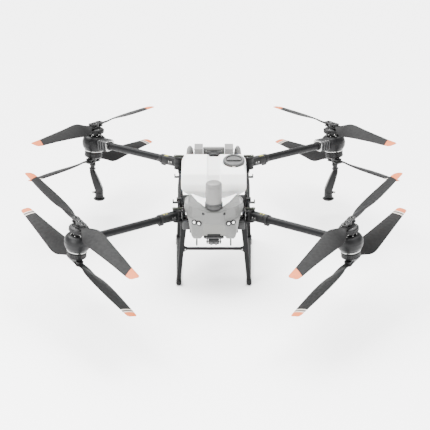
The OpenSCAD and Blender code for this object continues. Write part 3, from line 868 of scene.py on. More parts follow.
class Clay:
    """A solid that is cut from prisms, remeshed evenly and then shaped."""

    def __init__(self, name: str, voxel: float) -> None:
        """Starts with nothing.

        Args:
            name: The piece's name.
            voxel: Size of the remesh's cells.
        """
        self.name = name
        self.voxel = voxel
        self.obj: Piece | None = None

    def solid(self, outline: Profile, low: float, high: float, at: Matrix) -> Piece:
        """A loose prism to cut with.

        Args:
            outline: The prism's outline.
            low: Where it starts.
            high: Where it ends.
            at: Its frame.

        Returns:
            The loose solid.
        """
        work = Work(self.name + "_tool")
        work.prism(outline, low, high, BLACK, at)
        bmesh.ops.recalc_face_normals(work.bm, faces=work.bm.faces[:])
        mesh = bpy.data.meshes.new(work.name)
        work.bm.to_mesh(mesh)
        work.bm.free()
        return placed(work.name, mesh)

    def combine(self, tool: Piece, operation: str) -> None:
        """Joins, cuts or intersects the clay with a tool, and throws the tool away.

        Args:
            tool: The other solid.
            operation: UNION, DIFFERENCE or INTERSECT.
        """
        if self.obj is None:
            self.obj = tool
            return
        cut = self.obj.modifiers.new("cut", "BOOLEAN")
        cut.operation = operation
        cut.object = tool
        cut.solver = "EXACT"
        self.apply()
        bpy.data.objects.remove(tool)

    def apply(self) -> None:
        """Makes the modifiers' result the clay's own mesh."""
        bpy.context.view_layer.update()
        shown = self.obj.evaluated_get(bpy.context.evaluated_depsgraph_get())
        mesh = bpy.data.meshes.new_from_object(shown)
        self.obj.modifiers.clear()
        self.obj.data = mesh

    def even(self, rounds: int) -> None:
        """Remeshes the clay and smooths its edges.

        Args:
            rounds: How many times each point moves to its neighbours' mean.
        """
        remesh = self.obj.modifiers.new("even", "REMESH")
        remesh.mode = "VOXEL"
        remesh.voxel_size = self.voxel
        soft = self.obj.modifiers.new("soft", "SMOOTH")
        soft.factor = 0.5
        soft.iterations = rounds
        self.apply()

    def press(self, depth: float, where: Callable[[Vector, Vector], float]) -> None:
        """Moves the surface in along its normals.

        Args:
            depth: How far, in metres; less than 0 raises it.
            where: The share of the depth at a point with its normal, 0 to 1.
        """
        mesh = self.obj.data
        moves = [(v.index, v.co - v.normal * depth * where(v.co, v.normal)) for v in mesh.vertices]
        for index, place in moves:
            mesh.vertices[index].co = place
        mesh.update()

    def colour_faces(self, index: int, where: Callable[[Vector, Vector], bool]) -> None:
        """Gives some faces another of the piece's finishes.

        Args:
            index: The finish's number.
            where: Tells whether a face is one of them, from its middle and normal.
        """
        for face in self.obj.data.polygons:
            if where(face.center, face.normal):
                face.material_index = index

    def make(self, finishes: Sequence[Finish], body: str, slot: str, replaces: Sequence[str]) -> Piece:
        """Hands over the finished piece.

        Args:
            finishes: Its finishes in material order.
            body: The body that it rides on.
            slot: The record's material slot; not used.
            replaces: Frame nodes that it stands for.

        Returns:
            The object.
        """
        mesh = self.obj.data
        bpy.data.objects.remove(self.obj)
        mesh.name = self.name
        marks = [face.material_index for face in mesh.polygons]
        mesh.materials.clear()
        piece = finish_piece(mesh, self.name, finishes, Matrix.Identity(4), body, replaces, 60)
        mesh.polygons.foreach_set("material_index", marks)
        return piece


# ---- arms


@dataclass(frozen=True)
class ArmFrame:
    """Where one arm, its pod and its propellers are, read from the joints."""

    end: End
    side: Side

    @property
    def name(self) -> str:
        """The arm's name, such as front_left."""
        return f"{self.end.value}_{self.side.word}"

    @property
    def body(self) -> str:
        """The body of the arm's tube and pod."""
        return f"arm_{self.name}"

    @property
    def hinge(self) -> Vector:
        """Middle of the folding pin."""
        return Vector(JOINTS[f"fold_{self.name}"]["pos_m"])

    @property
    def motor(self) -> Vector:
        """Middle of the pod."""
        return Vector(JOINTS[f"spin_upper_{self.name}"]["pos_m"])

    @property
    def axis(self) -> Vector:
        """The motors' axis."""
        return Vector(JOINTS[f"spin_upper_{self.name}"]["axis"])

    @property
    def length(self) -> float:
        """From the folding pin to the motor axis."""
        return (self.motor - self.hinge).length

    def along(self) -> Matrix:
        """X runs out along the tube from the folding pin, Z is up.

        Returns:
            The matrix.
        """
        way = self.motor - self.hinge
        side = Vector((0, 0, 1)).cross(way)
        return place_axes(self.hinge, way, way.cross(side))

    def pod(self) -> Matrix:
        """Z is the motor axis, X points away from the folding pin."""
        return place_axes(self.motor, self.motor - self.hinge, self.axis)

    def rotor(self, level: Level, height: float) -> Matrix:
        """Z points away from the pod, X along the blades.

        Args:
            level: Which propeller.
            height: Distance of the blades from the pod's middle.

        Returns:
            The matrix at the blades' plane.
        """
        sign = 1 if level is Level.UPPER else -1
        centre = self.motor + self.axis * height * sign
        pin = Vector(JOINTS[f"blade_fold_{level.value}_a_{self.name}"]["pos_m"])
        return place_axes(centre, pin - centre, self.axis * sign)

    def blade(self, level: Level, letter: str, height: float) -> Matrix:
        """X points out along the blade from its own pin, Z is the motor axis.

        Args:
            level: Which propeller.
            letter: Which of its two blades.
            height: Distance of the blades from the pod's middle.

        Returns:
            The matrix at the blade's pin.
        """
        sign = 1 if level is Level.UPPER else -1
        centre = self.motor + self.axis * height * sign
        pin = Vector(JOINTS[f"blade_fold_{level.value}_{letter}_{self.name}"]["pos_m"])
        return place_axes(pin, pin - centre, self.axis)

    def spin(self, level: Level) -> int:
        """The way a propeller turns, seen from above: 1 is anticlockwise.

        Args:
            level: Which propeller.

        Returns:
            1 or -1.
        """
        way = 1 if level is Level.UPPER else -1
        way *= -1 if self.end is End.FRONT else 1
        return way * self.side.value


ARMS = [ArmFrame(end, side) for end in End for side in Side]


@dataclass
class Blade:
    """One folding propeller blade with its root boss and its painted tip."""

    arm: ArmFrame
    level: Level
    letter: str
    tip_radius: float = 0.686
    pin_offset: float = 0.045
    boss_radius: float = 0.0178
    boss_height: float = 0.0156
    root_chord: float = 0.034
    widest_chord: float = 0.122
    widest_share: float = 0.30
    tip_chord: float = 0.060
    pitch: float = 0.560
    around: int = 18
    orange_from: dict[TipBand, float] = field(
        default_factory=lambda: {TipBand.SLANTED: 0.885, TipBand.STRIPED: 0.935}
    )

    @property
    def band(self) -> TipBand:
        """Upper blades have a slanted tip, lower ones stripes."""
        return TipBand.SLANTED if self.level is Level.UPPER else TipBand.STRIPED

    @property
    def start(self) -> float:
        """Radius at which the blade proper begins."""
        return self.pin_offset + self.boss_radius

    def chord(self, r: float) -> float:
        """Width of the blade at a radius.

        Args:
            r: The radius.

        Returns:
            The width.
        """
        share, first = r / self.tip_radius, self.start / self.tip_radius
        if share < self.widest_share:
            rise = math.sin(math.pi / 2 * max(0.0, (share - first) / (self.widest_share - first)))
            return self.root_chord + (self.widest_chord - self.root_chord) * rise
        fall = ((share - self.widest_share) / (1 - self.widest_share)) ** 1.15
        width = self.widest_chord - (self.widest_chord - self.tip_chord) * fall
        return width * (1 - 0.3 * max(0.0, (share - 0.975) / 0.025) ** 2)

    def thickness(self, r: float) -> float:
        """Greatest thickness at a radius.

        Args:
            r: The radius.

        Returns:
            The thickness.
        """
        share = max(0.0, (r - self.start) / (self.tip_radius - self.start))
        root = max(0.0, 1 - max(0.0, r - self.pin_offset - 0.008) / 0.02) * 0.002
        return 0.0125 - 0.0085 * share**0.6 + root

    def ring(self, r: float, skew: float) -> list[Vector]:
        """One section of the blade.

        Args:
            r: Its radius.
            skew: How far it leans along the blade from edge to edge.

        Returns:
            The section's points in the blade's frame.
        """
        spin = self.arm.spin(self.level)
        chord, thick = self.chord(r), self.thickness(r)
        ease = max(0.0, min(1.0, (r - self.start) / (0.13 * self.tip_radius)))
        pitch = math.atan(self.pitch / (2 * math.pi * r)) * ease
        points = []
        for j in range(self.around):
            a = 2 * math.pi * j / self.around
            y = chord * (0.5 * math.cos(a) - 0.06)
            foil = 0.72 + 0.28 * math.cos(a) * ease
            z = thick / 2 * math.sin(a) * (foil if ease else 1.0) + 0.03 * chord * ease * (
                1 - (2 * y / chord) ** 2
            )
            lean = skew * y / chord
            points.append(Vector((
                r + lean - self.pin_offset,
                spin * (y * math.cos(pitch) - z * math.sin(pitch)),
                y * math.sin(pitch) + z * math.cos(pitch),
            )))
        return points if spin > 0 else points[::-1]

    def stations(self) -> tuple[Points, list[Finish]]:
        """Radii of the sections with their lean, and the finish between them.

        Returns:
            The rows of radius and lean, and the finishes.
        """
        reach = self.tip_radius
        orange = self.orange_from[self.band] * reach
        if self.band is TipBand.SLANTED:
            marks = [(orange, TIP_ORANGE)]
        else:
            marks = [
                (0.885 * reach, TIP_PALE), (0.901 * reach, TIP_DARK), (0.921 * reach, TIP_PALE),
                (orange, TIP_ORANGE)
            ]
        first = self.pin_offset + 0.006
        body = [first + (marks[0][0] - first) * (k / 26) ** 1.12 for k in range(27)]
        tips = [m[0] for m in marks[1:]] + [orange + (reach - orange) * k / 6 for k in range(1, 7)]
        slope = -0.085 * reach if self.band is TipBand.SLANTED else 0.0
        rows, coats = [], []
        for r in body + tips:
            lean = slope * step(r, 0.72 * reach, marks[0][0]) * (1 - step(r, marks[0][0], reach))
            rows.append((r, lean))
        for r, _ in rows[:-1]:
            coat = BLADE
            for edge, finish in marks:
                coat = finish if r >= edge - 1e-6 else coat
            coats.append(coat)
        return rows, coats

    def make(self, height: float) -> None:
        """Builds the blade.

        Args:
            height: Distance of the blades from the pod's middle.
        """
        name = f"{self.level.value}_{self.letter}_{self.arm.name}"
        work = Work(f"blade_skin_{name}", self.arm.blade(self.level, self.letter, height))
        rows, coats = self.stations()
        work.loft([self.ring(r, lean) for r, lean in rows], BLADE, bands=coats)
        h, r, pin = self.boss_height / 2, self.boss_radius, 0.0052
        boss = [(pin, -h), (r - 0.002, -h), (r, -h + 0.002), (r, h - 0.002), (r - 0.002, h), (pin, h)]
        work.lathe(boss, BLADE, sides=40)
        work.block((0.022, 0.026, self.boss_height * 0.82), BLADE, shift(0.018), 0.004)
        for y in (-0.006, 0.006):
            work.screw(shift(0.026, y, self.boss_height * 0.40), 0.0024, 0.0012, MOTOR)
        work.make(f"blade_{name}", "blade_grey", [f"blade_{name}"])


@dataclass
class Rotor:
    """An outrunner bell with the clamp that holds its two blades."""

    arm: ArmFrame
    level: Level
    bell_radius: float
    bell_height: float
    blade_height: float
    stack: float = 0.013
    plate: float = 0.005
    boss_radius: float = 0.034
    boss_height: float = 0.006
    pin_offset: float = 0.045
    clamp_radius: float = 0.0218

    @property
    def name(self) -> str:
        """The rotor's body and node name."""
        return f"rotor_{self.level.value}_{self.arm.name}"

    def bell(self, work: Work) -> None:
        """The bell, its ribs and its ring of bright screws.

        Args:
            work: The piece.
        """
        top = -(self.stack + self.boss_height)
        low = top - self.bell_height
        r = self.bell_radius
        work.lathe([
            (0, low), (r - 0.006, low), (r - 0.0035, low + 0.001), (r - 0.0035, low + 0.006),
            (r, low + 0.0068),
            (r, low + 0.0095), (r - 0.002, low + 0.011), (r - 0.002, top - 0.014), (r, top - 0.0125),
            (r, top - 0.009),
            (r - 0.003, top - 0.0045), (r - 0.009, top - 0.001), (r - 0.014, top),
            (self.boss_radius + 0.002, top),
            (self.boss_radius, top + 0.001), (self.boss_radius, top + self.boss_height),
            (0, top + self.boss_height),
        ], MOTOR)
        ribs = 36
        wall = top - 0.014 - (low + 0.011)
        for k in range(ribs):
            at = turn(360 * k / ribs, "Z") @ shift(r - 0.0018, 0, low + 0.011 + wall / 2)
            work.block((0.0022, 0.003, wall), MOTOR, at, 0.0006, 1)
        work.screw_circle(6, r - 0.016, shift(z=top), 0.003, 0.0022)

    def clamp(self, work: Work) -> None:
        """Two plates with rounded ends, their spacers, screws and the blade pins.

        Args:
            work: The piece.
        """
        r, off = self.clamp_radius, self.pin_offset
        half = [
            (off + r * math.cos(a), r * math.sin(a)) for a in (math.radians(d) for d in range(-90, 91, 12))
        ]
        waist = [(0.018, r * 0.86), (-0.018, r * 0.86)]
        outline = half + waist + [(-x, -y) for x, y in half] + [(-x, -y) for x, y in waist]
        for sign in (-1, 1):
            z = sign * (self.stack - self.plate / 2)
            work.prism(outline, z - self.plate / 2, z + self.plate / 2, MOTOR, edge=0.0008)
        work.drum(0.020, -self.stack, self.stack, MOTOR, sides=40)
        for sign in (-1, 1):
            pin = shift(sign * off)
            work.drum(0.0047, -self.stack, self.stack, STEEL, pin, 24)
            work.drum(0.0098, 0, 0.0012, STEEL, pin @ shift(z=self.stack), 32)
            work.screw(pin @ shift(z=self.stack + 0.001), 0.0072, 0.0042, MOTOR)
        work.screw_circle(4, 0.0125, shift(z=self.stack), 0.0034, 0.0026, STEEL, 45)

    def make(self) -> None:
        """Builds the rotor."""
        work = Work(f"{self.name}_bell", self.arm.rotor(self.level, self.blade_height))
        self.bell(work)
        self.clamp(work)
        if self.level is Level.UPPER:
            work.lathe([
                (0, 0), (0.011, 0), (0.011, 0.003), (0.008, 0.005), (0, 0.0056)
            ], MOTOR, shift(z=self.stack), 32)
        elif self.arm.end is End.FRONT:
            work.lathe([
                (0, 0), (0.013, 0), (0.013, 0.004), (0.009, 0.007), (0, 0.007)
            ], MOTOR, shift(z=self.stack), 32)
        work.make(self.name, "motor_black", [self.name])


@dataclass
class Pod:
    """The egg-shaped housing between two motors, and the clamp on its arm."""

    arm: ArmFrame
    radius: float = 0.0775
    top: float = 0.045
    bottom: float = 0.054
    upper_bell_from: float = 0.0640
    hollow_shaft: float = 0.015
    clamp_size: Triple = (0.084, 0.070, 0.062)
    flange: float = 0.0045

    def shell(self, work: Work) -> None:
        """The egg with its groove and the pale ring at its foot.

        Args:
            work: The piece.
        """
        r, top, low = self.radius, self.top, -self.bottom
        lower = smooth_profile([
            (r - 0.020, low + 0.006), (r - 0.0135, low + 0.014), (r - 0.0045, low * 0.45), (r, 0.002)
        ])
        upper = smooth_profile([
            (r, 0.002), (r - 0.003, top * 0.42), (r - 0.0115, top * 0.78), (r - 0.021, top - 0.002)
        ])
        groove = [(r - 0.0002, 0.001), (r - 0.0016, 0.0015), (r - 0.0016, 0.0030), (r - 0.0003, 0.0035)]
        work.lathe([
            (0, low + 0.004), (r - 0.022, low + 0.004), *lower[:-1], *groove, *upper[1:], (r - 0.024, top),
            (0, top)
        ], POD, sides=96)
        foot = r - 0.0205
        work.lathe([
            (0, low), (foot, low), (foot + 0.0015, low + 0.0012), (foot + 0.0015, low + 0.005),
            (foot - 0.001, low + 0.007), (0, low + 0.007)
        ], STEEL)

    def neck(self, work: Work) -> None:
        """The narrow collar under the upper motor with its bright screws.

        Args:
            work: The piece.
        """
        z, end = self.top, self.upper_bell_from
        work.lathe([
            (0, z - 0.002), (0.050, z - 0.002), (0.050, z + 0.002), (0.047, z + 0.0035), (0.038, z + 0.0045),
            (0.035, z + 0.008), (0.035, end - 0.004), (0.038, end - 0.0015), (0.038, end), (0, end),
        ], MOTOR)
        work.screw_circle(8, 0.0425, shift(z=z + 0.004), 0.0038, 0.0034, STEEL, 22.5)
        for k in range(6):
            at = turn(60 * k, "Z") @ shift(0.034, 0, z + 0.012) @ turn(90, "Y")
            work.screw(at, 0.0042, 0.0035)

    def clamp(self, work: Work) -> None:
        """The split block that grips the tube, its fins, bolts and end flange.

        Args:
            work: The piece.
        """
        reach = self.arm.length - self.radius
        long, wide, tall = self.clamp_size
        here = self.arm.pod().inverted() @ self.arm.along()
        mid = here @ shift(reach - long / 2 + 0.014)
        for sign in (-1, 1):
            half = mid @ shift(z=sign * (tall / 4 + 0.0006))
            work.block((long, wide, tall / 2 - 0.0012), CAST, half, 0.006)
        for x in (-0.022, 0.000, 0.022):
            for y in (-1, 1):
                foot = mid @ shift(x, y * (wide / 2 - 0.009), tall / 2)
                work.screw(foot, 0.0044, 0.0036)
                work.block((0.011, 0.012, tall * 0.96), CAST, mid @ shift(x, y * (wide / 2 + 0.001)), 0.002)
        for x in (-0.011, 0.011):
            work.block((0.0035, wide * 0.62, 0.006), CAST, mid @ shift(x, 0, tall / 2 + 0.001), 0.001)
        outline = rounded([
            (-tall / 2, -wide / 2), (tall / 2, -wide / 2), (tall / 2, wide / 2), (-tall / 2, wide / 2)
        ], 0.014)
        flat = here @ shift(reach - long + 0.014) @ turn(90, "Y")
        work.prism(outline, -self.flange, 0.0, STEEL, flat, 0.0008)
        work.lathe([(0, -0.012), (0.0265, -0.012), (0.028, -0.010), (0.028, 0.0), (0, 0.0)], MOTOR, flat, 48)
        shoulder = [
            [
                here @ Vector((x, y * k, z * k)) for y,
                z in rounded([(-0.034, -0.030), (0.034, -0.030), (0.034, 0.028), (-0.034, 0.028)], 0.012)
            ]
            for x, k in ((reach + 0.008, 0.96), (reach + 0.022, 1.02), (reach + 0.045, 1.0))
        ]
        work.loft(shoulder, POD)

    def shaft(self, work: Work) -> None:
        """The hollow shaft that comes down through a rear rotor to the nozzle.

        Args:
            work: The piece.
        """
        r, end = self.hollow_shaft, -0.138
        work.drum(r, end, -0.05, MOTOR, sides=40)
        for z in (end + 0.001, end + 0.006):
            work.drum(r + 0.003, z, z + 0.003, MOTOR, sides=40)

    def make(self) -> None:
        """Builds the pod."""
        work = Work(f"pod_shell_{self.arm.name}", self.arm.pod())
        self.shell(work)
        self.neck(work)
        self.clamp(work)
        if self.arm.end is End.REAR:
            self.shaft(work)
        else:
            work.drum(0.0078, -0.075, -0.05, STEEL, sides=24)
        work.make(self.arm.body, "pod_black", [f"pod_{self.arm.name}"])


@dataclass
class ArmTube:
    """The carbon tube with its knuckle, its cast neck, latch bulge and band."""

    arm: ArmFrame
    radius: float = 0.023
    knuckle_radius: float = 0.0268
    knuckle_height: float = 0.060
    neck_end: float = 0.150
    pin_radius: float = 0.0085
    pod_radius: float = 0.0775
    band: Pair = (0.086, 0.116)

    def tube(self) -> None:
        """The bare tube, with its weave along its own X."""
        work = Work(f"carbon_{self.arm.name}", self.arm.along())
        start, end = self.neck_end - 0.02, self.arm.length - self.pod_radius - 0.02
        work.lathe([
            (self.radius - 0.0025, start), (self.radius, start), (self.radius, end),
            (self.radius - 0.0025, end)
        ], CARBON, turn(90, "Y"))
        work.make(self.arm.body, "carbon_tube", [f"arm_tube_{self.arm.name}"])

    def section(self, x: float, wide: float, tall: float, corner: float) -> list[Vector]:
        """A rounded box section of the neck across the tube."""
        outline = rounded([(-wide, -tall), (wide, -tall), (wide, tall), (-wide, tall)], corner)
        return [Vector((x, y, z)) for y, z in outline]

    def neck(self, work: Work) -> None:
        """The cast neck from the knuckle out to the tube.

        Args:
            work: The piece.
        """
        r, end = self.radius, self.neck_end
        work.loft([
            self.section(0.012, 0.0225, 0.0245, 0.006), self.section(0.030, 0.0230, 0.0250, 0.008),
            self.section(0.062, 0.0235, 0.0255, 0.012), self.section(0.078, 0.0265, 0.0268, 0.018),
            self.section(0.082, 0.0270, 0.0270, 0.021), self.section(0.120, 0.0268, 0.0268, 0.022),
        ], BLACK)
        spin = turn(90, "Y")
        work.lathe([
            (r - 0.001, 0.110), (r + 0.0042, 0.110), (r + 0.0042, 0.124), (r + 0.0062, 0.126),
            (r + 0.0062, end - 0.003),
            (r + 0.005, end), (r - 0.001, end),
        ], BLACK, spin)
        under = -r - 0.006
        work.block((0.034, 0.024, 0.016), BLACK, shift(end - 0.018, 0, under), 0.005)
        work.rod(
            Vector((end - 0.030, 0, under - 0.006)), Vector((end - 0.006, 0, under - 0.006)), 0.0062, CAST
        )
        for y in (-1, 1):
            for x in (0.040, 0.060):
                work.screw(shift(x, y * 0.0235, 0.0) @ turn(-90 * y, "X"), 0.0042, 0.003)
            work.block((0.050, 0.002, 0.018), CAST, shift(0.056, y * 0.0238, -0.013), 0.0009)

    def knuckle(self, work: Work) -> None:
        """The eye round the folding pin, level with the frame's plates.

        Args:
            work: The piece.
        """
        level = work.place.inverted() @ shift(*self.arm.hinge)
        r, h, pin = self.knuckle_radius, self.knuckle_height / 2, self.pin_radius
        work.lathe([
            (pin, -h), (r - 0.003, -h), (r, -h + 0.003), (r, -0.004), (r - 0.0022, -0.003),
            (r - 0.0022, 0.003), (r, 0.004),
            (r, h - 0.003), (r - 0.003, h), (pin, h),
        ], BLACK, level, 56)
        work.lathe([
            (pin, h - 0.0004), (r - 0.008, h - 0.0004), (r - 0.008, h + 0.0003), (pin, h + 0.0003)
        ], STEEL, level, 40)

    def sticker(self, work: Work) -> None:
        """A yellow band on top of the neck: a hollow frame in front, solid behind.

        Args:
            work: The piece.
        """
        low, high = self.band
        r = 0.0275
        width = math.radians(96)
        bars = [(low, high, -width / 2, width / 2)]
        if self.arm.end is End.FRONT:
            rim = 0.007
            turn_rim = rim / r
            bars = [
                (low, low + rim, -width / 2, width / 2), (high - rim, high, -width / 2, width / 2),
                (low, high, -width / 2, -width / 2 + turn_rim), (low, high, width / 2 - turn_rim, width / 2),
            ]
        for x0, x1, a0, a1 in bars:
            steps = 10
            points, loops = [], []
            for k in range(steps + 1):
                a = math.pi / 2 + a0 + (a1 - a0) * k / steps
                for x in (x0, x1):
                    for out in (-0.0012, 0.0004):
                        points.append(Vector((x, (r + out) * math.cos(a), (r + out) * math.sin(a))))
            for k in range(steps):
                i = 4 * k
                loops += [(i, i + 4, i + 5, i + 1), (i + 2, i + 3, i + 7, i + 6)]
                loops += [(i + 1, i + 5, i + 7, i + 3), (i, i + 2, i + 6, i + 4)]
            last = 4 * steps
            loops += [(0, 1, 3, 2), (last, last + 2, last + 3, last + 1)]
            work.faces(points, loops, YELLOW)

    def make(self) -> None:
        """Builds the tube and its fittings."""
        self.tube()
        work = Work(f"arm_neck_{self.arm.name}", self.arm.along())
        self.neck(work)
        self.knuckle(work)
        self.sticker(work)
        work.make(self.arm.body, "frame_black")


@dataclass
class LockLever:
    """The lever on top of a hinge that locks the arm open."""

    arm: ArmFrame
    reach: float = 0.040
    width: float = 0.018
    height: float = 0.008

    def make(self) -> None:
        """Builds the lever: a cast blade with a hub, a rib and a finger end."""
        pivot = Vector(JOINTS[f"lock_{self.arm.name}"]["pos_m"])
        low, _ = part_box(f"lock_lever_{self.arm.name}")
        place = place_axes(
            Vector((pivot.x, pivot.y, low.z)), Vector((-self.arm.side.value, 0, 0)), Vector((0, 0, 1))
        )
        work = Work(f"lever_{self.arm.name}", place)
        r, w, h = self.width / 2 + 0.003, self.width / 2, self.height
        work.lathe([
            (0.0042, 0), (r - 0.001, 0), (r, 0.001), (r, h - 0.002), (r - 0.002, h), (0.0042, h)
        ], OLIVE, sides=40)
        outline = [
            (0.004, -w), (self.reach - 0.006, -w + 0.002), (self.reach + 0.006, -w * 0.55),
            (self.reach + 0.0088, 0)
        ]
        outline = outline + [(x, -y) for x, y in reversed(outline[:-1])]
        work.prism(outline, 0.0005, h - 0.0005, OLIVE, edge=0.0015)
        work.block((self.reach * 0.7, 0.004, 0.004), OLIVE, shift(self.reach * 0.55, 0, h), 0.0012)
        work.screw(shift(z=h), 0.006, 0.003)
        for x in (0.030, 0.035, 0.040):
            work.block((0.002, self.width * 0.7, 0.0016), OLIVE, shift(x, 0, h - 0.0003), 0.0005)
        work.make(f"lever_{self.arm.name}", "lever_olive", [f"lock_lever_{self.arm.name}"])


@dataclass
class Nozzle:
    """The bent arm under a rear pod, its sprayer body and its spinning disc."""

    arm: ArmFrame
    shaft_end: float = 0.138
    stem_length: float = 0.050
    body_radius: float = 0.027
    body_height: float = 0.056
    disc_radius: float = 0.0375
    disc_height: float = 0.016

    @property
    def disc_foot(self) -> Vector:
        """The disc's axis at its lower face."""
        return Vector(JOINTS[f"disc_spin_{self.arm.side.word}"]["pos_m"])

    def bent_arm(self, work: Work, top: Vector, foot: Vector) -> None:
        """A flattened hollow arm that widens on its way down.

        Args:
            work: The piece.
            top: Middle of its upper end.
            foot: Middle of its lower end.
        """
        way = (foot - top).normalized()
        out = Vector((self.arm.side.value, 0, 0))
        across = way.cross(out).normalized()
        thick = across.cross(way).normalized()
        spine = [
            (-0.10, 0.012, 0.013), (0.0, 0.019, 0.017), (0.18, 0.024, 0.019), (0.55, 0.029, 0.021),
            (0.85, 0.031, 0.0235), (1.05, 0.027, 0.025)
        ]
        rings = []
        for share, wide, deep in spine:
            middle = top + (foot - top) * share
            outline = rounded([(-wide, -deep), (wide, -deep), (wide, deep), (-wide, deep)], 0.011)
            rings.append([middle + across * a + thick * b for a, b in outline])
        work.loft(rings, POD)
        for sign in (-1, 1):
            plate = [
                [
                    top + (foot - top) * share + thick * sign * (deep + lift) + across * a * wide
                    for a in (-0.7, -0.35, 0.0, 0.35, 0.7)
                ]
                for share, wide, deep,
                lift in (
                    (0.12, 0.021, 0.018, 0.0004), (0.5, 0.028, 0.0205, 0.0016), (0.88, 0.030, 0.0235, 0.0006)
                )
            ]
            points = [p for row in plate for p in row] + [
                p - thick * sign * 0.003 for row in plate for p in row
            ]
            loops = []
            for r in range(2):
                for c in range(4):
                    i = 5 * r + c
                    loops += [(i, i + 1, i + 6, i + 5), (i + 15, i + 20, i + 21, i + 16)]
            rim = [0, 1, 2, 3, 4, 9, 14, 13, 12, 11, 10, 5]
            loops += [(a, a + 15, b + 15, b) for a, b in zip(rim, rim[1:] + rim[:1])]
            work.faces(points, loops, CAST)

    def make(self) -> None:
        """Builds the fixed sprayer and its disc."""
        foot = self.disc_foot
        seat = foot + Vector((0, 0, self.disc_height + 0.0005))
        head = seat + Vector((0, 0, self.body_height))
        pod = self.arm.pod()
        stem_top = pod @ Vector((0, 0, -self.shaft_end))
        stem_end = pod @ Vector((0, 0, -self.shaft_end - self.stem_length - 0.004))
        work = Work(f"sprayer_{self.arm.side.word}")
        work.rod(stem_top, stem_end, 0.0148, POD)
        work.lathe([
            (0, 0), (0.019, 0), (0.0195, 0.001), (0.0195, 0.011), (0.0175, 0.013), (0, 0.013)
        ], MOTOR, pod @ shift(z=-self.shaft_end - 0.016), 40)
        work.drum(0.021, 0, 0.007, POD, pod @ shift(z=-self.shaft_end - 0.040), 40)
        self.bent_arm(work, stem_end, head)
        r, h = self.body_radius, self.body_height
        work.lathe([
            (0, 0), (r - 0.004, 0), (r, 0.004), (r, 0.010), (r - 0.0015, 0.011), (r - 0.0015, 0.014),
            (r, 0.015), (r, h * 0.62),
            (r - 0.0015, h * 0.64), (r - 0.0015, h * 0.70), (r, h * 0.72), (r, h - 0.004),
            (r - 0.003, h + 0.002), (0, h + 0.002),
        ], POD, shift(*seat), 56)
        out = Vector((self.arm.side.value, -0.25, 0)).normalized()
        plug = seat + Vector((0, 0, h * 0.66)) + out * (r - 0.002)
        work.rod(plug, plug + out * 0.010, 0.0075, MOTOR, sides=24)
        work.rod(plug + out * 0.008, plug + out * 0.016, 0.006, TIP_PALE, sides=24)
        work.rod(plug + out * 0.015, plug + out * 0.019, 0.0068, MOTOR, sides=24)
        work.make(self.arm.body, "pod_black", [f"nozzle_arm_{self.arm.side.word}"])
        self.disc(foot)

    def disc(self, foot: Vector) -> None:
        """The spinning disc: a dark grooved dish with pale teeth below.

        Args:
            foot: The axis at its lower face.
        """
        work = Work(f"spray_disc_dish_{self.arm.side.word}", shift(*foot))
        r, h = self.disc_radius, self.disc_height
        work.lathe([
            (0, 0.002), (r - 0.012, 0.002), (r - 0.008, 0), (r - 0.001, 0.0055), (r, 0.007), (r, h - 0.006),
            (r - 0.002, h - 0.004),
            (r - 0.006, h - 0.002), (0.016, h), (0, h),
        ], BLACK, sides=80)
        teeth = 60
        for k in range(teeth):
            at = turn(360 * k / teeth, "Z") @ shift(r - 0.0055, 0, 0.0026) @ turn(-38, "Y")
            work.block((0.008, 0.0012, 0.0016), DISC, at, 0.0003, 1)
        work.lathe([(0, -0.0), (0.010, 0.0), (0.011, 0.001), (0.011, 0.003), (0, 0.003)], STEEL, sides=32)
        work.make(f"disc_{self.arm.side.word}", "disc_pale", [f"spray_disc_{self.arm.side.word}"])


@dataclass
class ArmSet:
    """One whole arm with its pod, its stacked rotors and its four blades."""

    arm: ArmFrame
    upper_height: float = 0.115
    lower_height: float = 0.117
    upper_bell: Pair = (0.0575, 0.0305)
    lower_bell: Pair = (0.0570, 0.0425)

    def make(self) -> None:
        """Builds everything on the arm."""
        ArmTube(self.arm).make()
        Pod(self.arm).make()
        LockLever(self.arm).make()
        rows = (
            (Level.UPPER, self.upper_bell, self.upper_height),
            (Level.LOWER, self.lower_bell, self.lower_height)
        )
        for level, (radius, tall), height in rows:
            Rotor(self.arm, level, radius, tall, height).make()
            for letter in "ab":
                Blade(self.arm, level, letter).make(height)
        if self.arm.end is End.REAR:
            Nozzle(self.arm).make()


# ---- body

ALONG_Y = turn(90, "X")
ALONG_X = turn(90, "Z") @ turn(90, "X")


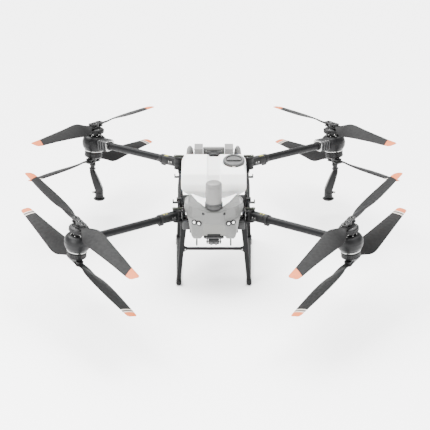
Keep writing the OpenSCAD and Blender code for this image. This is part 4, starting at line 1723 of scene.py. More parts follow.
@dataclass
class Tank:
    """The white spray tank, its channel, its filler seat and its seam."""

    half: float = 0.192
    floor: float = 0.430
    top: float = 0.694
    front: float = -0.190
    back: float = 0.078
    corner: float = 0.026
    channel_half: float = 0.037
    channel_depth: float = 0.0085
    channel_foot: float = 0.590
    seat_radius: float = 0.0672
    neck_radius: float = 0.059

    def filler(self) -> Matrix:
        """The filler neck's frame, from the cap's own joint."""
        joint = JOINTS["cap_turn"]
        return place_axes(Vector(joint["pos_m"]), Vector((1, 0, 0)), Vector(joint["axis"]))

    def outlines(self) -> tuple[Profile, Profile]:
        """The tank seen from the front, and from its side.

        Returns:
            The outlines, in that order.
        """
        w, low, top = self.half, self.floor, self.top
        front = mirrored([
            (0.062, low), (0.072, low + 0.04), (w - 0.042, low + 0.082), (w, low + 0.132), (w, top - 0.042),
            (w - 0.034, top + 0.01)
        ])
        side = [
            (self.back - 0.020, low), (self.back, low + 0.07), (self.back, top - 0.014),
            (self.back - 0.022, top), (-0.108, top - 0.022),
            (self.front + 0.034, top - 0.05), (self.front, top - 0.104), (self.front, low + 0.115),
            (self.front + 0.045, low + 0.075), (-0.058, low),
        ]
        return rounded(front, self.corner, 6), rounded(side, self.corner, 6)

    def channel(self, point: Vector, normal: Vector) -> float:
        """How deep the middle channel is at a point, 0 to 1.

        Args:
            point: A point of the surface.
            normal: Its normal.

        Returns:
            The share of the depth.
        """
        if normal.y > 0.6 or normal.z < -0.5:
            return 0.0
        across = 1 - step(abs(point.x), self.channel_half - 0.004, self.channel_half + 0.004)
        return across * step(point.z, self.channel_foot, self.channel_foot + 0.03)

    def seam(self, point: Vector, _: Vector) -> float:
        """The raised line where the two halves of the mould met."""
        return 1 - step(abs(point.z - (self.floor + 0.112)), 0.0005, 0.004)

    def make(self) -> None:
        """Builds the tank."""
        front, side = self.outlines()
        clay = Clay("tank_skin", 0.0036)
        clay.combine(clay.solid(front, -self.back, -self.front, ALONG_Y), "UNION")
        clay.combine(clay.solid(side, -self.half - 0.01, self.half + 0.01, ALONG_X), "INTERSECT")
        ring = [(math.cos(a), math.sin(a)) for a in (2 * math.pi * k / 48 for k in range(48))]
        seat = [(x * self.seat_radius, y * self.seat_radius) for x, y in ring]
        clay.combine(clay.solid(seat, -0.001, 0.06, self.filler()), "DIFFERENCE")
        clay.even(9)
        clay.press(self.channel_depth, self.channel)
        clay.press(-0.0012, self.seam)
        # The channel's faces take the darker white: painted shade in the recess.
        clay.colour_faces(
            1,
            lambda c, n: abs(c.x) < self.channel_half - 0.003 and c.z > self.channel_foot + 0.02 and n.y < 0.6
        )
        clay.make([TANK, TANK_CHANNEL_SHADE], "tank", "tank_white", ["tank"])
        self.fittings()

    def fittings(self) -> None:
        """The neck, the dark latch at the back of the channel and the outlet."""
        work = Work("tank_fittings")
        neck = [
            (self.neck_radius - 0.005, -0.004), (self.neck_radius - 0.0005, -0.004),
            (self.neck_radius - 0.0005, 0.012), (self.neck_radius - 0.003, 0.0135),
            (self.neck_radius - 0.005, 0.012)
        ]
        work.lathe(neck, TANK, self.filler())
        wide = self.channel_half - 0.004
        latch = rounded([(-wide, 0.0), (wide, 0.0), (wide - 0.007, -0.030), (-wide + 0.007, -0.030)], 0.005)
        work.prism(latch, 0.0, 0.012, BLACK, shift(0, self.back - 0.006, self.top - 0.012), 0.002)
        work.block((0.030, 0.010, 0.006), CAST, shift(0, self.back - 0.020, self.top + 0.0005), 0.002)
        work.drum(0.026, -0.003, 0.006, BLACK, shift(0, 0.0, self.floor + 0.003))
        for side in (-1, 1):
            eye = shift(side * (self.half - 0.030), self.back - 0.004, self.top - 0.060)
            work.block((0.026, 0.012, 0.040), BLACK, eye, 0.003)
            work.screw(eye @ shift(0, 0.006, 0.010) @ turn(-90, "X"), 0.004, 0.003)
        work.make("tank", "tank_white")


@dataclass
class TankCap:
    """The grey quarter-turn filler cap with its grip ribs and finger bar."""

    radius: float = 0.065
    height: float = 0.0205
    ribs: int = 40

    def make(self) -> None:
        """Builds the cap."""
        joint = JOINTS["cap_turn"]
        work = Work(
            "filler_cap", place_axes(Vector(joint["pos_m"]), Vector((1, 0, 0)), Vector(joint["axis"]))
        )
        r, h = self.radius, self.height
        work.lathe([
            (0.0602, 0.001), (r - 0.004, 0.001), (r - 0.003, 0.003), (r - 0.003, h - 0.006),
            (r - 0.006, h - 0.001), (r - 0.010, h),
            (r - 0.017, h), (r - 0.019, h - 0.003), (r - 0.020, h - 0.006), (0.010, h - 0.007),
            (0, h - 0.007), (0, h - 0.011), (0.0602, h - 0.011),
        ], CAP, sides=96)
        for k in range(self.ribs):
            at = turn(360 * k / self.ribs, "Z") @ shift(r - 0.0032, 0, h / 2 - 0.001)
            work.block((0.0056, 0.0048, h - 0.006), CAP, at, 0.0014, 2)
        bar = rounded([
            (-0.042, -0.009), (0.042, -0.009), (0.046, 0.0), (0.042, 0.009), (-0.042, 0.009), (-0.046, 0.0)
        ], 0.005)
        work.prism(bar, h - 0.0075, h + 0.0005, CAP, edge=0.0015)
        work.block((0.060, 0.004, 0.003), RING, shift(0, 0, h), 0.001)
        # A pale block at the cap's front foot: a painted highlight, shaped as a small tab.
        work.block(
            (0.016, 0.006, 0.008), TIP_PALE, turn(-90, "Z") @ shift(r - 0.002, 0, 0.007) @ turn(90, "Z"),
            0.0015
        )
        work.lathe([(0, 0), (0.006, 0), (0.006, 0.0016), (0, 0.0022)], RING, shift(0, 0.030, h - 0.0072), 24)
        work.make("tank_cap", "cap_grey", ["tank_cap"])


@dataclass
class NoseShell:
    """The grey nose shell with its lobes, creases, lower panel and slot."""

    half: float = 0.174
    front: float = -0.418
    back: float = -0.226
    deck: float = 0.520
    belly: float = 0.348
    lobe: float = 0.317

    def outlines(self) -> tuple[Profile, Profile, Profile]:
        """The shell seen from the front, from its side and from above.

        Returns:
            The outlines, in that order.
        """
        w, low = self.half, self.lobe
        across = mirrored([
            (0.062, self.belly), (0.074, low), (0.120, low), (w - 0.036, 0.372), (w - 0.026, 0.428),
            (w, 0.492), (w - 0.004, 0.528), (0.133, 0.548), (0.058, self.deck),
        ])
        side = [
            (self.back, low - 0.005), (-0.352, low - 0.005), (-0.386, 0.345), (-0.408, 0.424),
            (self.front, 0.462),
            (self.front, 0.506), (-0.392, 0.524), (-0.300, 0.526), (self.back, 0.552),
        ]
        plan = [(w, self.back), (w, -0.300), (w - 0.046, -0.382), (0.040, self.front)]
        plan = plan + [(-x, y) for x, y in reversed(plan)]
        return rounded(across, 0.013), rounded(side, 0.013), rounded(plan, 0.030)

    def panel(self, point: Vector, normal: Vector) -> float:
        """The sunk panel low on the front.

        Args:
            point: A point of the surface.
            normal: Its normal.

        Returns:
            The share of the depth.
        """
        if normal.y > -0.3:
            return 0.0
        across = 1 - step(abs(point.x), 0.058 + (0.43 - point.z) * 0.10, 0.062 + (0.43 - point.z) * 0.10)
        return across * (1 - step(point.z, 0.424, 0.428))

    def flank(self, point: Vector, normal: Vector) -> float:
        """The flats on each side of the middle, sunk above the lamps.

        Args:
            point: A point of the surface.
            normal: Its normal.

        Returns:
            The share of the depth.
        """
        if normal.y > -0.2:
            return 0.0
        across = step(abs(point.x), 0.060, 0.064) * (1 - step(abs(point.x), 0.140, 0.146))
        return across * step(point.z, 0.454, 0.458)

    def deck_height(self, x: float, y: float) -> float:
        """Height of the shell's top at a place.

        Args:
            x: Place across the drone.
            y: Place along the drone.

        Returns:
            The height.
        """
        side = abs(x)
        across = self.deck + 0.028 * max(
            0.0, min(1.0, (side - 0.058) / 0.075)
        ) - 0.020 * max(0.0, (side - 0.133) / 0.037)
        along = 0.5245 + 0.0275 * max(0.0, (y + 0.300) / 0.074)
        return min(across, along)

    def cover(self) -> None:
        """The white moulding that fills the deck between the tank and the radar."""
        work = Work("deck_cover")
        rows = (
            (-0.228, 0.136), (-0.252, 0.122), (-0.276, 0.106), (-0.300, 0.091), (-0.325, 0.0755),
            (-0.350, 0.060), (-0.372, 0.044)
        )
        count = 28
        rings = []
        for y, reach in rows:
            spots = [reach * (2 * k / count - 1) for k in range(count + 1)]
            top = [Vector((x, y, self.deck_height(x, y) + 0.003)) for x in spots]
            foot = [Vector((x, y, self.deck_height(x, y) - 0.006)) for x in reversed(spots)]
            rings.append(top + foot)
        work.loft(rings, TANK)
        work.make(AIRFRAME, "tank_white")

    def make(self) -> None:
        """Builds the shell and what is fixed to it."""
        across, side, plan = self.outlines()
        clay = Clay("nose_skin", 0.0034)
        clay.combine(clay.solid(across, -self.back, -self.front, ALONG_Y), "UNION")
        clay.combine(clay.solid(side, -self.half - 0.01, self.half + 0.01, ALONG_X), "INTERSECT")
        clay.combine(clay.solid(plan, 0.29, 0.57, Matrix.Identity(4)), "INTERSECT")
        clay.even(4)
        clay.press(0.0028, self.panel)
        clay.press(0.0034, self.flank)
        clay.colour_faces(1, lambda c, n: self.panel(c, n) > 0.6)
        # Upward-facing faces of the top take the darker grey: painted shade from how the light falls.
        clay.colour_faces(2, lambda c, n: n.z > 0.4 and abs(c.x) < 0.150 and c.z > 0.48)
        clay.make([SHELL, SHELL_PALE, SHELL_TOP_SHADE], AIRFRAME, "shell_grey", ["nose_shell"])
        self.cover()
        self.trim()

    def trim(self) -> None:
        """The slot, drawn as a black bar of painted shade, the side brackets, the black tabs and the screws.
        """
        work = Work("nose_trim")
        # A black bar where the slot opens: painted shade of the opening.
        work.block((0.076, 0.014, 0.011), BLACK, shift(0, -0.3845, 0.3525), 0.002)
        for sign in (-1, 1):
            work.block((0.044, 0.056, 0.050), CAST, shift(sign * 0.162, -0.272, 0.374), 0.008)
            work.block((0.030, 0.012, 0.026), CAST, shift(sign * 0.156, -0.292, 0.380), 0.004)
            work.block((0.009, 0.020, 0.022), BLACK, shift(sign * 0.138, -0.300, 0.346), 0.002)
            work.screw(shift(sign * 0.162, -0.2952, 0.386) @ turn(90, "X"), 0.0042, 0.003)
            work.screw(shift(sign * 0.162, -0.2952, 0.362) @ turn(90, "X"), 0.0042, 0.003)
            rail = Vector((sign * 0.150, -0.262, 0.400))
            work.rod(rail, Vector((sign * 0.172, -0.236, 0.404)), 0.009, BLACK)
        work.make(AIRFRAME, "shell_grey")


@dataclass
class Sensors:
    """The radar, the two eyes, the four lamps and the tilting camera."""

    radar_radius: float = 0.0475
    lamp_radius: float = 0.0150
    eye_radius: float = 0.0065
    lamps: tuple[Triple, ...] = ((0.114, -0.392, 0.436), (0.086, -0.404, 0.433))
    lamp_turn: float = 24.0

    def radar(self) -> None:
        """The tall radome with its lid line, and the dark ring under it."""
        low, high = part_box("radar_dome")
        r, h = self.radar_radius, high.z - low.z
        centre = Vector(((low.x + high.x) / 2, (low.y + high.y) / 2, low.z))
        work = Work("radome_shell", shift(*centre))
        top = smooth_profile([
            (r - 0.0002, h * 0.80), (r - 0.0006, h * 0.90), (r - 0.0045, h - 0.0055), (r - 0.014, h - 0.0008),
            (r - 0.025, h)
        ], 4)
        work.lathe([
            (0, 0), (r, 0), (r, h * 0.765), (r - 0.0012, h * 0.770), (r - 0.0012, h * 0.777), (r, h * 0.782),
            *top, (0, h)
        ], RADOME, sides=96)
        work.make(AIRFRAME, "radar_grey", ["radar_dome"])
        low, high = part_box("radar_ring")
        ring_low, ring = 0.520, (high.x - low.x) / 2
        work = Work("radar_seat", shift(centre.x, centre.y, ring_low))
        tall = high.z - ring_low
        work.lathe([
            (0, low.z - ring_low), (0.018, low.z - ring_low), (0.018, -0.002), (ring - 0.006, -0.002),
            (ring - 0.003, 0.002), (ring, 0.005),
            (ring, tall - 0.010), (ring - 0.0015, tall - 0.0085), (ring - 0.0015, tall - 0.0065),
            (ring, tall - 0.005), (ring - 0.001, tall), (0, tall),
        ], RING, sides=96)
        work.make(AIRFRAME, "ring_grey", ["radar_ring"])

    def lamp_set(self) -> None:
        """Four lamps, each a dark bezel with a domed lens."""
        glass, rims = Work("lamp_lenses"), Work("lamp_bezels")
        r = self.lamp_radius
        for sign in (-1, 1):
            for x, y, z in self.lamps:
                at = shift(sign * x, y, z) @ turn(sign * self.lamp_turn, "Z") @ turn(90, "X")
                rims.lathe([
                    (r - 0.0055, -0.010), (r, -0.010), (r, 0.0025), (r - 0.001, 0.004), (r - 0.004, 0.004),
                    (r - 0.0055, 0.002)
                ], BLACK, at, 48)
                glass.lathe([
                    (0, -0.008), (r - 0.0055, -0.008), (r - 0.0055, 0.0015), (r - 0.008, 0.0036),
                    (0.003, 0.0045), (0, 0.0045)
                ], LAMP, at, 48)
            pair = shift(sign * 0.1, -0.3955, 0.4345) @ turn(sign * self.lamp_turn, "Z") @ turn(90, "X")
            rims.block((0.044, 0.021, 0.010), BLACK, pair @ shift(z=-0.002), 0.004)
        glass.make(AIRFRAME, "lens_glass", ["headlights"])
        rims.make(AIRFRAME, "camera_black")

    def eyes(self) -> None:
        """Two small round cameras high on the nose."""
        work = Work("vision_eyes")
        r = self.eye_radius
        low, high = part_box("vision_cameras")
        for sign in (-1, 1):
            at = shift(sign * (high.x - r), low.y, (low.z + high.z) / 2) @ turn(90, "X")
            work.lathe([
                (0, -0.014), (r, -0.014), (r, 0.0), (r - 0.001, 0.001), (r - 0.0022, 0.001),
                (r - 0.003, -0.001), (0, -0.001)
            ], BLACK, at, 40)
            work.lathe([
                (r - 0.001, -0.012), (r + 0.0025, -0.012), (r + 0.0025, -0.0035), (r + 0.001, -0.0025),
                (r - 0.001, -0.0025)
            ], BLACK, at, 40)
            work.lathe([
                (0, -0.002), (r - 0.003, -0.002), (r - 0.0035, 0.0), (0.001, 0.001), (0, 0.001)
            ], OPTIC, at, 40)
        work.make(AIRFRAME, "camera_black", ["vision_cameras"])

    def bracket(self, axis: Vector) -> None:
        """The fork under the nose that holds the tilting camera.

        Args:
            axis: Middle of the camera's pivot.
        """
        work = Work("camera_fork")
        outline = rounded([(-0.060, -0.020), (0.060, -0.020), (0.060, 0.020), (-0.060, 0.020)], 0.018)
        work.prism(outline, 0.322, 0.334, CAST, shift(0, axis.y, 0), 0.002)
        work.block((0.086, 0.031, 0.018), BLACK, shift(0, axis.y, 0.3415), 0.003)
        for sign in (-1, 1):
            ear = rounded([(-0.014, -0.012), (0.014, -0.012), (0.014, 0.026), (-0.014, 0.026)], 0.011)
            work.prism(
                ear, sign * 0.038 - 0.004, sign * 0.038 + 0.004, CAST, shift(0, axis.y, axis.z) @ ALONG_X,
                0.001
            )
            work.screw(shift(sign * 0.042, axis.y, axis.z) @ turn(sign * 90, "Y"), 0.006, 0.0035)
            work.screw(shift(sign * 0.050, axis.y, 0.322) @ turn(180, "X"), 0.004, 0.003)
        work.make(AIRFRAME, "pod_black", ["camera_bracket"])

    def camera(self, axis: Vector) -> None:
        """The camera drum with its two eyes.

        Args:
            axis: Middle of its pivot.
        """
        work = Work("tilting_camera", shift(*axis))
        across = turn(90, "Y")
        work.lathe([
            (0, -0.032), (0.013, -0.032), (0.0165, -0.029), (0.0165, 0.029), (0.013, 0.032), (0, 0.032)
        ], CAST, across, 56)
        work.drum(0.0038, -0.042, 0.042, STEEL, across, 24)
        for sign in (-1, 1):
            at = shift(sign * 0.014, -0.010, -0.002) @ turn(90, "X")
            work.lathe([
                (0, 0), (0.011, 0), (0.011, 0.012), (0.009, 0.0138), (0.0075, 0.0135), (0.0068, 0.011),
                (0, 0.011)
            ], CAST, at, 48)
            work.lathe([
                (0, 0.010), (0.0066, 0.010), (0.0060, 0.0115), (0.002, 0.0125), (0, 0.0125)
            ], OPTIC, at, 40)
        work.block((0.052, 0.010, 0.006), BLACK, shift(0, 0, 0.0165), 0.002)
        work.make("fpv_camera", "camera_black", ["fpv_camera"])

    def rods(self) -> None:
        """Two short rod antennas under the lobes."""
        work = Work("rod_antennas")
        low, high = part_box("antenna_rods")
        for sign in (-1, 1):
            at = shift(sign * (high.x - 0.005), (low.y + high.y) / 2, low.z)
            work.lathe([
                (0, 0), (0.003, 0), (0.0048, 0.002), (0.0048, 0.040), (0.0035, 0.043), (0.0035, 0.058),
                (0.0049, 0.060), (0.0049, high.z - low.z), (0, high.z - low.z)
            ], RUBBER, at, 28)
        work.make(AIRFRAME, "rubber_black", ["antenna_rods"])

    def make(self) -> None:
        """Builds every sensor."""
        axis = Vector(JOINTS["camera_tilt"]["pos_m"])
        self.radar()
        self.lamp_set()
        self.eyes()
        self.bracket(axis)
        self.camera(axis)
        self.rods()


@dataclass
class PowerBay:
    """The battery, its bay with two pillars, and the horn antennas beside them."""

    handle_low: float = 0.686
    case_top: float = 0.662

    def battery(self) -> None:
        """The battery case with its ribs, its corner pads and its handle."""
        low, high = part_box("battery")
        wide, deep = high.x - low.x, high.y - low.y
        middle = Vector((0, (low.y + high.y) / 2, 0))
        work = Work("battery_case")
        tall = self.case_top - low.z
        work.block((wide, deep, tall), BATTERY, shift(0, middle.y, low.z + tall / 2), 0.007, 4)
        for k in range(6):
            z = low.z + 0.03 + k * 0.022
            for sign in (-1, 1):
                work.block(
                    (wide * 0.8, 0.0024, 0.006), BATTERY, shift(0, middle.y + sign * deep / 2, z), 0.001, 1
                )
        # A black sheet on the case top around the handle: painted shade of the recess under it.
        work.block(
            (wide * 0.80, deep * 0.62, 0.006), BLACK, shift(0, middle.y - deep * 0.14, self.case_top), 0.0025
        )
        work.block(
            (wide * 0.3, deep * 0.2, 0.005), BLACK, shift(0, middle.y + deep * 0.3, self.case_top), 0.002
        )
        bar_y = low.y + 0.048
        bar_tall = high.z - self.handle_low
        work.block((wide, 0.024, bar_tall), GREY, shift(0, bar_y, self.handle_low + bar_tall / 2), 0.006, 4)
        for sign in (-1, 1):
            post = self.handle_low - self.case_top + 0.010
            work.block(
                (0.014, 0.0235, post), BATTERY,
                shift(sign * (wide / 2 - 0.007), bar_y, self.case_top + post / 2 - 0.004), 0.003
            )
        work.block((wide * 0.66, 0.018, 0.004), RUBBER, shift(0, bar_y, self.handle_low - 0.0005), 0.0015)
        for k in range(4):
            work.lathe([
                (0, 0), (0.0028, 0), (0.0028, 0.0012), (0, 0.0016)
            ], TANK, shift(-0.015 + 0.010 * k, middle.y + deep * 0.3, self.case_top + 0.0024), 16)
        work.make("battery", "battery_grey", ["battery"])

    def bay(self) -> None:
        """The open bay, with rounded pillar caps, ribs and screws over it."""
        softened_node("battery_bay", GREY, AIRFRAME, 0.003)
        low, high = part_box("battery_bay")
        work = Work("bay_trim")
        pillar = (0.0655, 0.117)
        middle = (pillar[0] + pillar[1]) / 2
        front, back = low.y + 0.006, low.y + 0.102
        for sign in (-1, 1):
            work.block(
                (pillar[1] - pillar[0] - 0.004, back - front - 0.006, 0.010), GREY,
                shift(sign * middle, (front + back) / 2, high.z - 0.006), 0.004, 4
            )
            for z in (0.54, 0.60, 0.66):
                work.block((0.036, 0.004, 0.008), GREY, shift(sign * middle, front - 0.0005, z), 0.0018)
                work.block((0.036, 0.004, 0.008), GREY, shift(sign * middle, back + 0.0005, z), 0.0018)
            for y in (front + 0.016, back - 0.016):
                work.screw(shift(sign * (pillar[1]), y, high.z - 0.030) @ turn(sign * 90, "Y"), 0.004, 0.003)
            work.block(
                (0.010, 0.050, 0.090), BLACK, shift(sign * (pillar[1] + 0.001), (front + back) / 2, 0.56),
                0.003
            )
        for k in range(9):
            work.block((0.110, 0.003, 0.007), GREY, shift(0, high.y, low.z + 0.03 + 0.018 * k), 0.0014, 1)
        work.make(AIRFRAME, "bay_grey")

    def horns(self) -> None:
        """Two ribbed horns that hold the positioning antennas."""
        low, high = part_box("position_antennas")
        r = 0.025
        tall = high.z - low.z
        work = Work("horn_antennas")
        ribs = []
        for k in range(9):
            z = 0.006 + k * 0.0068
            lean = 1 - 0.42 * (z / tall) ** 1.4
            ribs += [
                (r * lean, z), (r * lean, z + 0.0036), (r * lean - 0.0014, z + 0.0044),
                (r * lean - 0.0014, z + 0.0062)
            ]
        for sign in (-1, 1):
            at = shift(sign * (high.x - r), (low.y + high.y) / 2, low.z)
            top = [(0.0128, tall - 0.010), (0.0105, tall - 0.0045), (0.006, tall - 0.001), (0, tall)]
            work.lathe([(0, 0), (r - 0.002, 0), (r, 0.003), *ribs, *top], GREY, at, 56)
        work.make(AIRFRAME, "bay_grey", ["position_antennas"])

    def make(self) -> None:
        """Builds the battery, the bay and the horns."""
        self.battery()
        self.bay()
        self.horns()


@dataclass
class Chassis:
    """The black frame with its hinge forks, and what hangs under the deck."""

    hinge_half: float = 0.030
    plate: float = 0.008

    def truss(self) -> None:
        """The frame itself, with bright pin heads, washers and bolts on the forks."""
        softened_node("main_frame", BLACK, AIRFRAME, 0.0012)
        work = Work("frame_bolts")
        for arm in ARMS:
            hinge = arm.hinge
            top = hinge.z + self.hinge_half + self.plate + 0.0005
            low = hinge.z - self.hinge_half - self.plate - 0.0005
            inward = -arm.side.value
            work.screw(shift(hinge.x, hinge.y, low) @ turn(180, "X"), 0.011, 0.005)
            work.drum(0.013, 0, 0.0018, STEEL, shift(hinge.x, hinge.y, low - 0.0016), 40)
            for y in (-0.019, 0.019):
                for x in (0.0, 0.022):
                    work.screw(shift(hinge.x + inward * (x + 0.008), hinge.y + y, top), 0.0036, 0.0028)
            for z in (-0.018, 0.0, 0.018):
                work.block(
                    (0.003, 0.046, 0.006), BLACK, shift(hinge.x + inward * 0.0345, hinge.y, hinge.z + z),
                    0.001
                )
            work.block(
                (0.003, 0.030, 0.050), STEEL, shift(hinge.x + inward * 0.0282, hinge.y, hinge.z), 0.001
            )
        for x in (-0.09, 0.09):
            for y in (-0.045, 0.045):
                work.lathe([
                    (0.0034, 0), (0.008, 0), (0.008, 0.0012), (0.0034, 0.0012)
                ], STEEL, shift(x, y, 0.4208), 32)
        for sign in (-1, 1):
            for y in (-0.05, 0.05):
                work.screw(shift(sign * 0.192, y, 0.430), 0.005, 0.0035)
        work.make(AIRFRAME, "frame_black")

    def electronics(self) -> None:
        """The finned box under the nose deck."""
        low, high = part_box("avionics_box")
        size, middle = high - low, (low + high) / 2
        work = Work("control_box")
        work.block(
            (size.x, size.y, size.z * 0.8), CAST, shift(middle.x, middle.y, high.z - size.z * 0.4), 0.003
        )
        for k in range(13):
            x = low.x + 0.008 + k * (size.x - 0.016) / 12
            work.block(
                (0.003, size.y * 0.9, size.z * 0.24), CAST, shift(x, middle.y, low.z + size.z * 0.12), 0.0006,
                1
            )
        for k in range(3):
            at = shift(-0.035 + 0.035 * k, high.y, middle.z + 0.006) @ turn(-90, "X")
            work.lathe([(0, 0), (0.009, 0), (0.009, 0.004), (0.007, 0.005), (0, 0.005)], MOTOR, at, 32)
        work.make(AIRFRAME, "box_grey", ["avionics_box"])

    def pumps(self) -> None:
        """Two impeller pumps under the deck, each a motor can on a wet end."""
        low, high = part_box("pumps")
        work = Work("spray_pumps")
        r = 0.0335
        for sign in (-1, 1):
            at = shift(sign * (high.x - r - 0.0005), 0, low.z)
            work.lathe([
                (0, 0), (r - 0.004, 0), (r - 0.001, 0.003), (r - 0.001, 0.026), (r, 0.027), (r, 0.032),
                (r - 0.003, 0.033),
                (r - 0.003, 0.052), (r, 0.053), (r, high.z - low.z), (0, high.z - low.z),
            ], MOTOR, at, 64)
            for k in range(20):
                work.block(
                    (0.002, 0.0022, 0.018), MOTOR, at @ turn(18 * k, "Z") @ shift(r - 0.0025, 0, 0.0425),
                    0.0005, 1
                )
            work.screw_circle(6, r - 0.005, at @ turn(180, "X"), 0.0028, 0.0022)
            mouth = at @ shift(0, -0.028, 0.020) @ turn(90, "X")
            work.lathe([
                (0, 0), (0.011, 0), (0.011, 0.008), (0.009, 0.010), (0.009, 0.016), (0.0105, 0.018),
                (0.0105, 0.022), (0.009, 0.024), (0.009, 0.027), (0.006, 0.0275), (0.006, 0.02), (0, 0.02)
            ], CAST, mouth, 40)
        work.make(AIRFRAME, "motor_black", ["pumps"])

    def make(self) -> None:
        """Builds the frame and what it carries."""
        self.truss()
        self.electronics()
        self.pumps()


@dataclass
class LandingGear:
    """Both skids with their legs, clamps, gussets, cross bars and rubber feet."""

    tube: float = 0.0125
    foot_height: float = 0.0145
    bar_height: float = 0.220

    def leg_line(self, side: Side) -> list[tuple[Vector, Vector]]:
        """Each leg's foot and top on one side.

        Args:
            side: Which side.

        Returns:
            The front leg's two points, then the rear leg's.
        """
        x, low = side.value, self.foot_height
        front = (Vector((x * 0.209, -0.300, low)), Vector((x * 0.176, -0.254, 0.372)))
        rear = (Vector((x * 0.222, 0.380, low)), Vector((x * 0.205, 0.276, 0.404)))
        return [front, rear]

    def side_set(self, side: Side) -> None:
        """One skid with its two legs.

        Args:
            side: Which side.
        """
        work = Work(f"skid_{side.word}")
        legs = self.leg_line(side)
        (front, front_top), (rear, rear_top) = legs
        run = (rear - front).normalized()
        work.rod(front - run * 0.014, rear + run * 0.014, self.tube, BLACK)
        for end, sign in ((front, -1), (rear, 1)):
            cap = end + run * sign * 0.014
            work.rod(cap - run * sign * 0.020, cap + run * sign * 0.004, self.tube + 0.0015, RUBBER)
        for (foot, top), wide in zip(legs, (0.0150, 0.0140)):
            way = (top - foot).normalized()
            outward = Vector((side.value, 0, 0))
            across = way.cross(outward).normalized()
            thick = across.cross(way).normalized()
            rings = []
            for share, a, b in (
                (0.01, 0.72, 0.85), (0.10, 0.80, 0.82), (0.45, 0.98, 0.9), (0.72, 1.05, 1.0),
                (0.90, 1.2, 1.15), (1.0, 1.25, 1.2)
            ):
                outline = rounded([
                    (-wide * a, -wide * b), (wide * a, -wide * b), (wide * a, wide * b), (-wide * a, wide * b)
                ], 0.006)
                middle = foot + (top - foot) * share
                rings.append([middle + across * p + thick * q for p, q in outline])
            work.loft(rings, BLACK)
            clamp = place_axes(foot, run, way)
            work.block((0.044, 0.031, 0.026), BLACK, clamp @ shift(z=0.002), 0.005)
            for x in (-0.015, 0.015):
                work.screw(
                    clamp @ shift(x, side.value * -0.0155, 0.0) @ turn(side.value * 90, "X"), 0.0036, 0.0026
                )
            self.gusset(work, foot, top, side)
        work.block(
            (0.036, 0.052, 0.026), BLACK, Matrix.Translation(front_top + Vector((0, -0.001, 0.003))), 0.004
        )
        work.block((0.032, 0.034, 0.026), BLACK, Matrix.Translation(rear_top + Vector((0, 0, 0.002))), 0.004)
        work.make(AIRFRAME, "gear_black", [f"landing_gear_{side.word}"])

    def gusset(self, work: Work, foot: Vector, top: Vector, side: Side) -> None:
        """The webbed socket that takes a cross bar.

        Args:
            work: The piece.
            foot: The leg's foot.
            top: The leg's top.
            side: Which side.
        """
        share = (self.bar_height - foot.z) / (top.z - foot.z)
        here = foot + (top - foot) * share
        inward = Vector((-side.value, 0, 0))
        work.rod(here, here + inward * 0.032, 0.0135, BLACK, 0.0118)
        for sign in (-1, 1):
            web = [
                here + Vector((0, y, sign * z)) + inward * x for y in (-0.0035, 0.0035) for x,
                z in ((0.0, 0.006), (0.030, 0.006), (0.0, 0.034))
            ]
            work.faces(web, [(0, 1, 2), (3, 5, 4), (0, 3, 4, 1), (1, 4, 5, 2), (2, 5, 3, 0)], BLACK)
        work.screw(
            Matrix.Translation(here + inward * 0.022 + Vector((0, -0.0125, 0))) @ turn(90, "X"), 0.0036,
            0.0026
        )

    def make(self) -> None:
        """Builds both skids, the cross bars and the feet."""
        for side in Side:
            self.side_set(side)
        softened_node("gear_crossbars", BLACK, AIRFRAME, 0.0008)
        work = Work("rubber_feet")
        for side in Side:
            (front, _), (rear, _) = self.leg_line(side)
            for share in (0.07, 0.93):
                spot = front + (rear - front) * share
                work.block((0.030, 0.056, 0.0125), RUBBER, shift(spot.x, spot.y, 0.00635), 0.003)
                for k in range(5):
                    work.block(
                        (0.0315, 0.004, 0.004), RUBBER, shift(spot.x, spot.y - 0.020 + 0.010 * k, 0.0045),
                        0.001, 1
                    )
        work.make(AIRFRAME, "rubber_black", ["skid_feet"])


# ---- studio


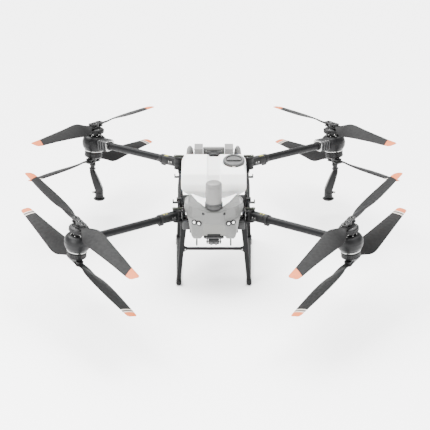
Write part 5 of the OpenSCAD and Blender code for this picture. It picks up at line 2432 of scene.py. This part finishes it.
@dataclass
class Studio:
    """The pale floor, the soft lights and the camera."""

    camera_height: float = 4.544
    camera_back: float = 10.447
    tilt: float = 68.0
    lens: float = 156.4
    sensor: float = 36.0
    shift_x: float = 0.0028
    floor_half: float = 30.0
    floor_gap: float = 0.001
    world_strength: float = 0.75
    sky_strength: float = 16.0
    sky_spread: float = 70.0
    aim: Triple = (0.0, 0.0, 0.4)

    def floor(self) -> None:
        """A wide pale floor just under the feet."""
        work = Work("studio_floor")
        half = self.floor_half
        work.faces([
            Vector((-half, -half, 0)), Vector((half, -half, 0)), Vector((half, half, 0)),
            Vector((-half, half, 0))
        ], [(0, 1, 2, 3)], BLACK)
        mesh = bpy.data.meshes.new(work.name)
        work.bm.to_mesh(mesh)
        work.bm.free()
        mesh.materials.append(Finish("studio_floor", (0.95, 0.95, 0.95), 0.9, mottle=0.0, rub=0.0).make())
        obj = placed(work.name, mesh)
        obj.location.z = -self.floor_gap

    def light(self, name: str, where: Triple, size: float, power: float) -> None:
        """A square soft light that looks at the drone.

        Args:
            name: Its name.
            where: Its place.
            size: Its side.
            power: Its power in watts.
        """
        data = bpy.data.lights.new(name, "AREA")
        data.shape = "SQUARE"
        data.size = size
        data.energy = power
        obj = placed(name, data)
        obj.location = where
        obj.rotation_euler = (Vector(self.aim) - Vector(where)).to_track_quat("-Z", "Y").to_euler()

    def sky(self) -> None:
        """A very wide soft sun, nearly overhead."""
        data = bpy.data.lights.new("sky", "SUN")
        data.energy = self.sky_strength
        data.angle = math.radians(self.sky_spread)
        obj = placed("sky", data)
        obj.location = (0, 0, 6)
        obj.rotation_euler = (math.radians(-16), math.radians(-8), 0)

    def camera(self) -> None:
        """The camera, at the height and slant of a view from in front and above."""
        data = bpy.data.cameras.new("view")
        data.sensor_width = self.sensor
        data.lens = self.lens
        data.shift_x = self.shift_x
        data.clip_end = 100.0
        obj = placed("view", data)
        obj.location = (0, -self.camera_back, self.camera_height)
        obj.rotation_euler = (math.radians(self.tilt), 0, 0)
        bpy.context.scene.camera = obj

    def make(self) -> None:
        """Sets up the studio."""
        self.camera()
        self.floor()
        world = bpy.data.worlds.new("studio")
        world.use_nodes = True
        sockets = world.node_tree.nodes["Background"].inputs
        sockets["Color"].default_value = (1, 1, 1, 1)
        sockets["Strength"].default_value = self.world_strength
        bpy.context.scene.world = world
        self.sky()
        self.light("key", (-3.6, -4.8, 3.6), 3.0, 620)
        self.light("fill", (4.5, -4.0, 3.0), 4.0, 160)


def main() -> None:
    """Builds the whole drone, sub-assembly by sub-assembly."""
    logging.basicConfig(level=logging.INFO, format="%(message)s")
    Studio().make()
    Chassis().make()
    LandingGear().make()
    Tank().make()
    TankCap().make()
    NoseShell().make()
    Sensors().make()
    PowerBay().make()
    for arm in ARMS:
        ArmSet(arm).make()


if __name__ == "__main__":
    main()
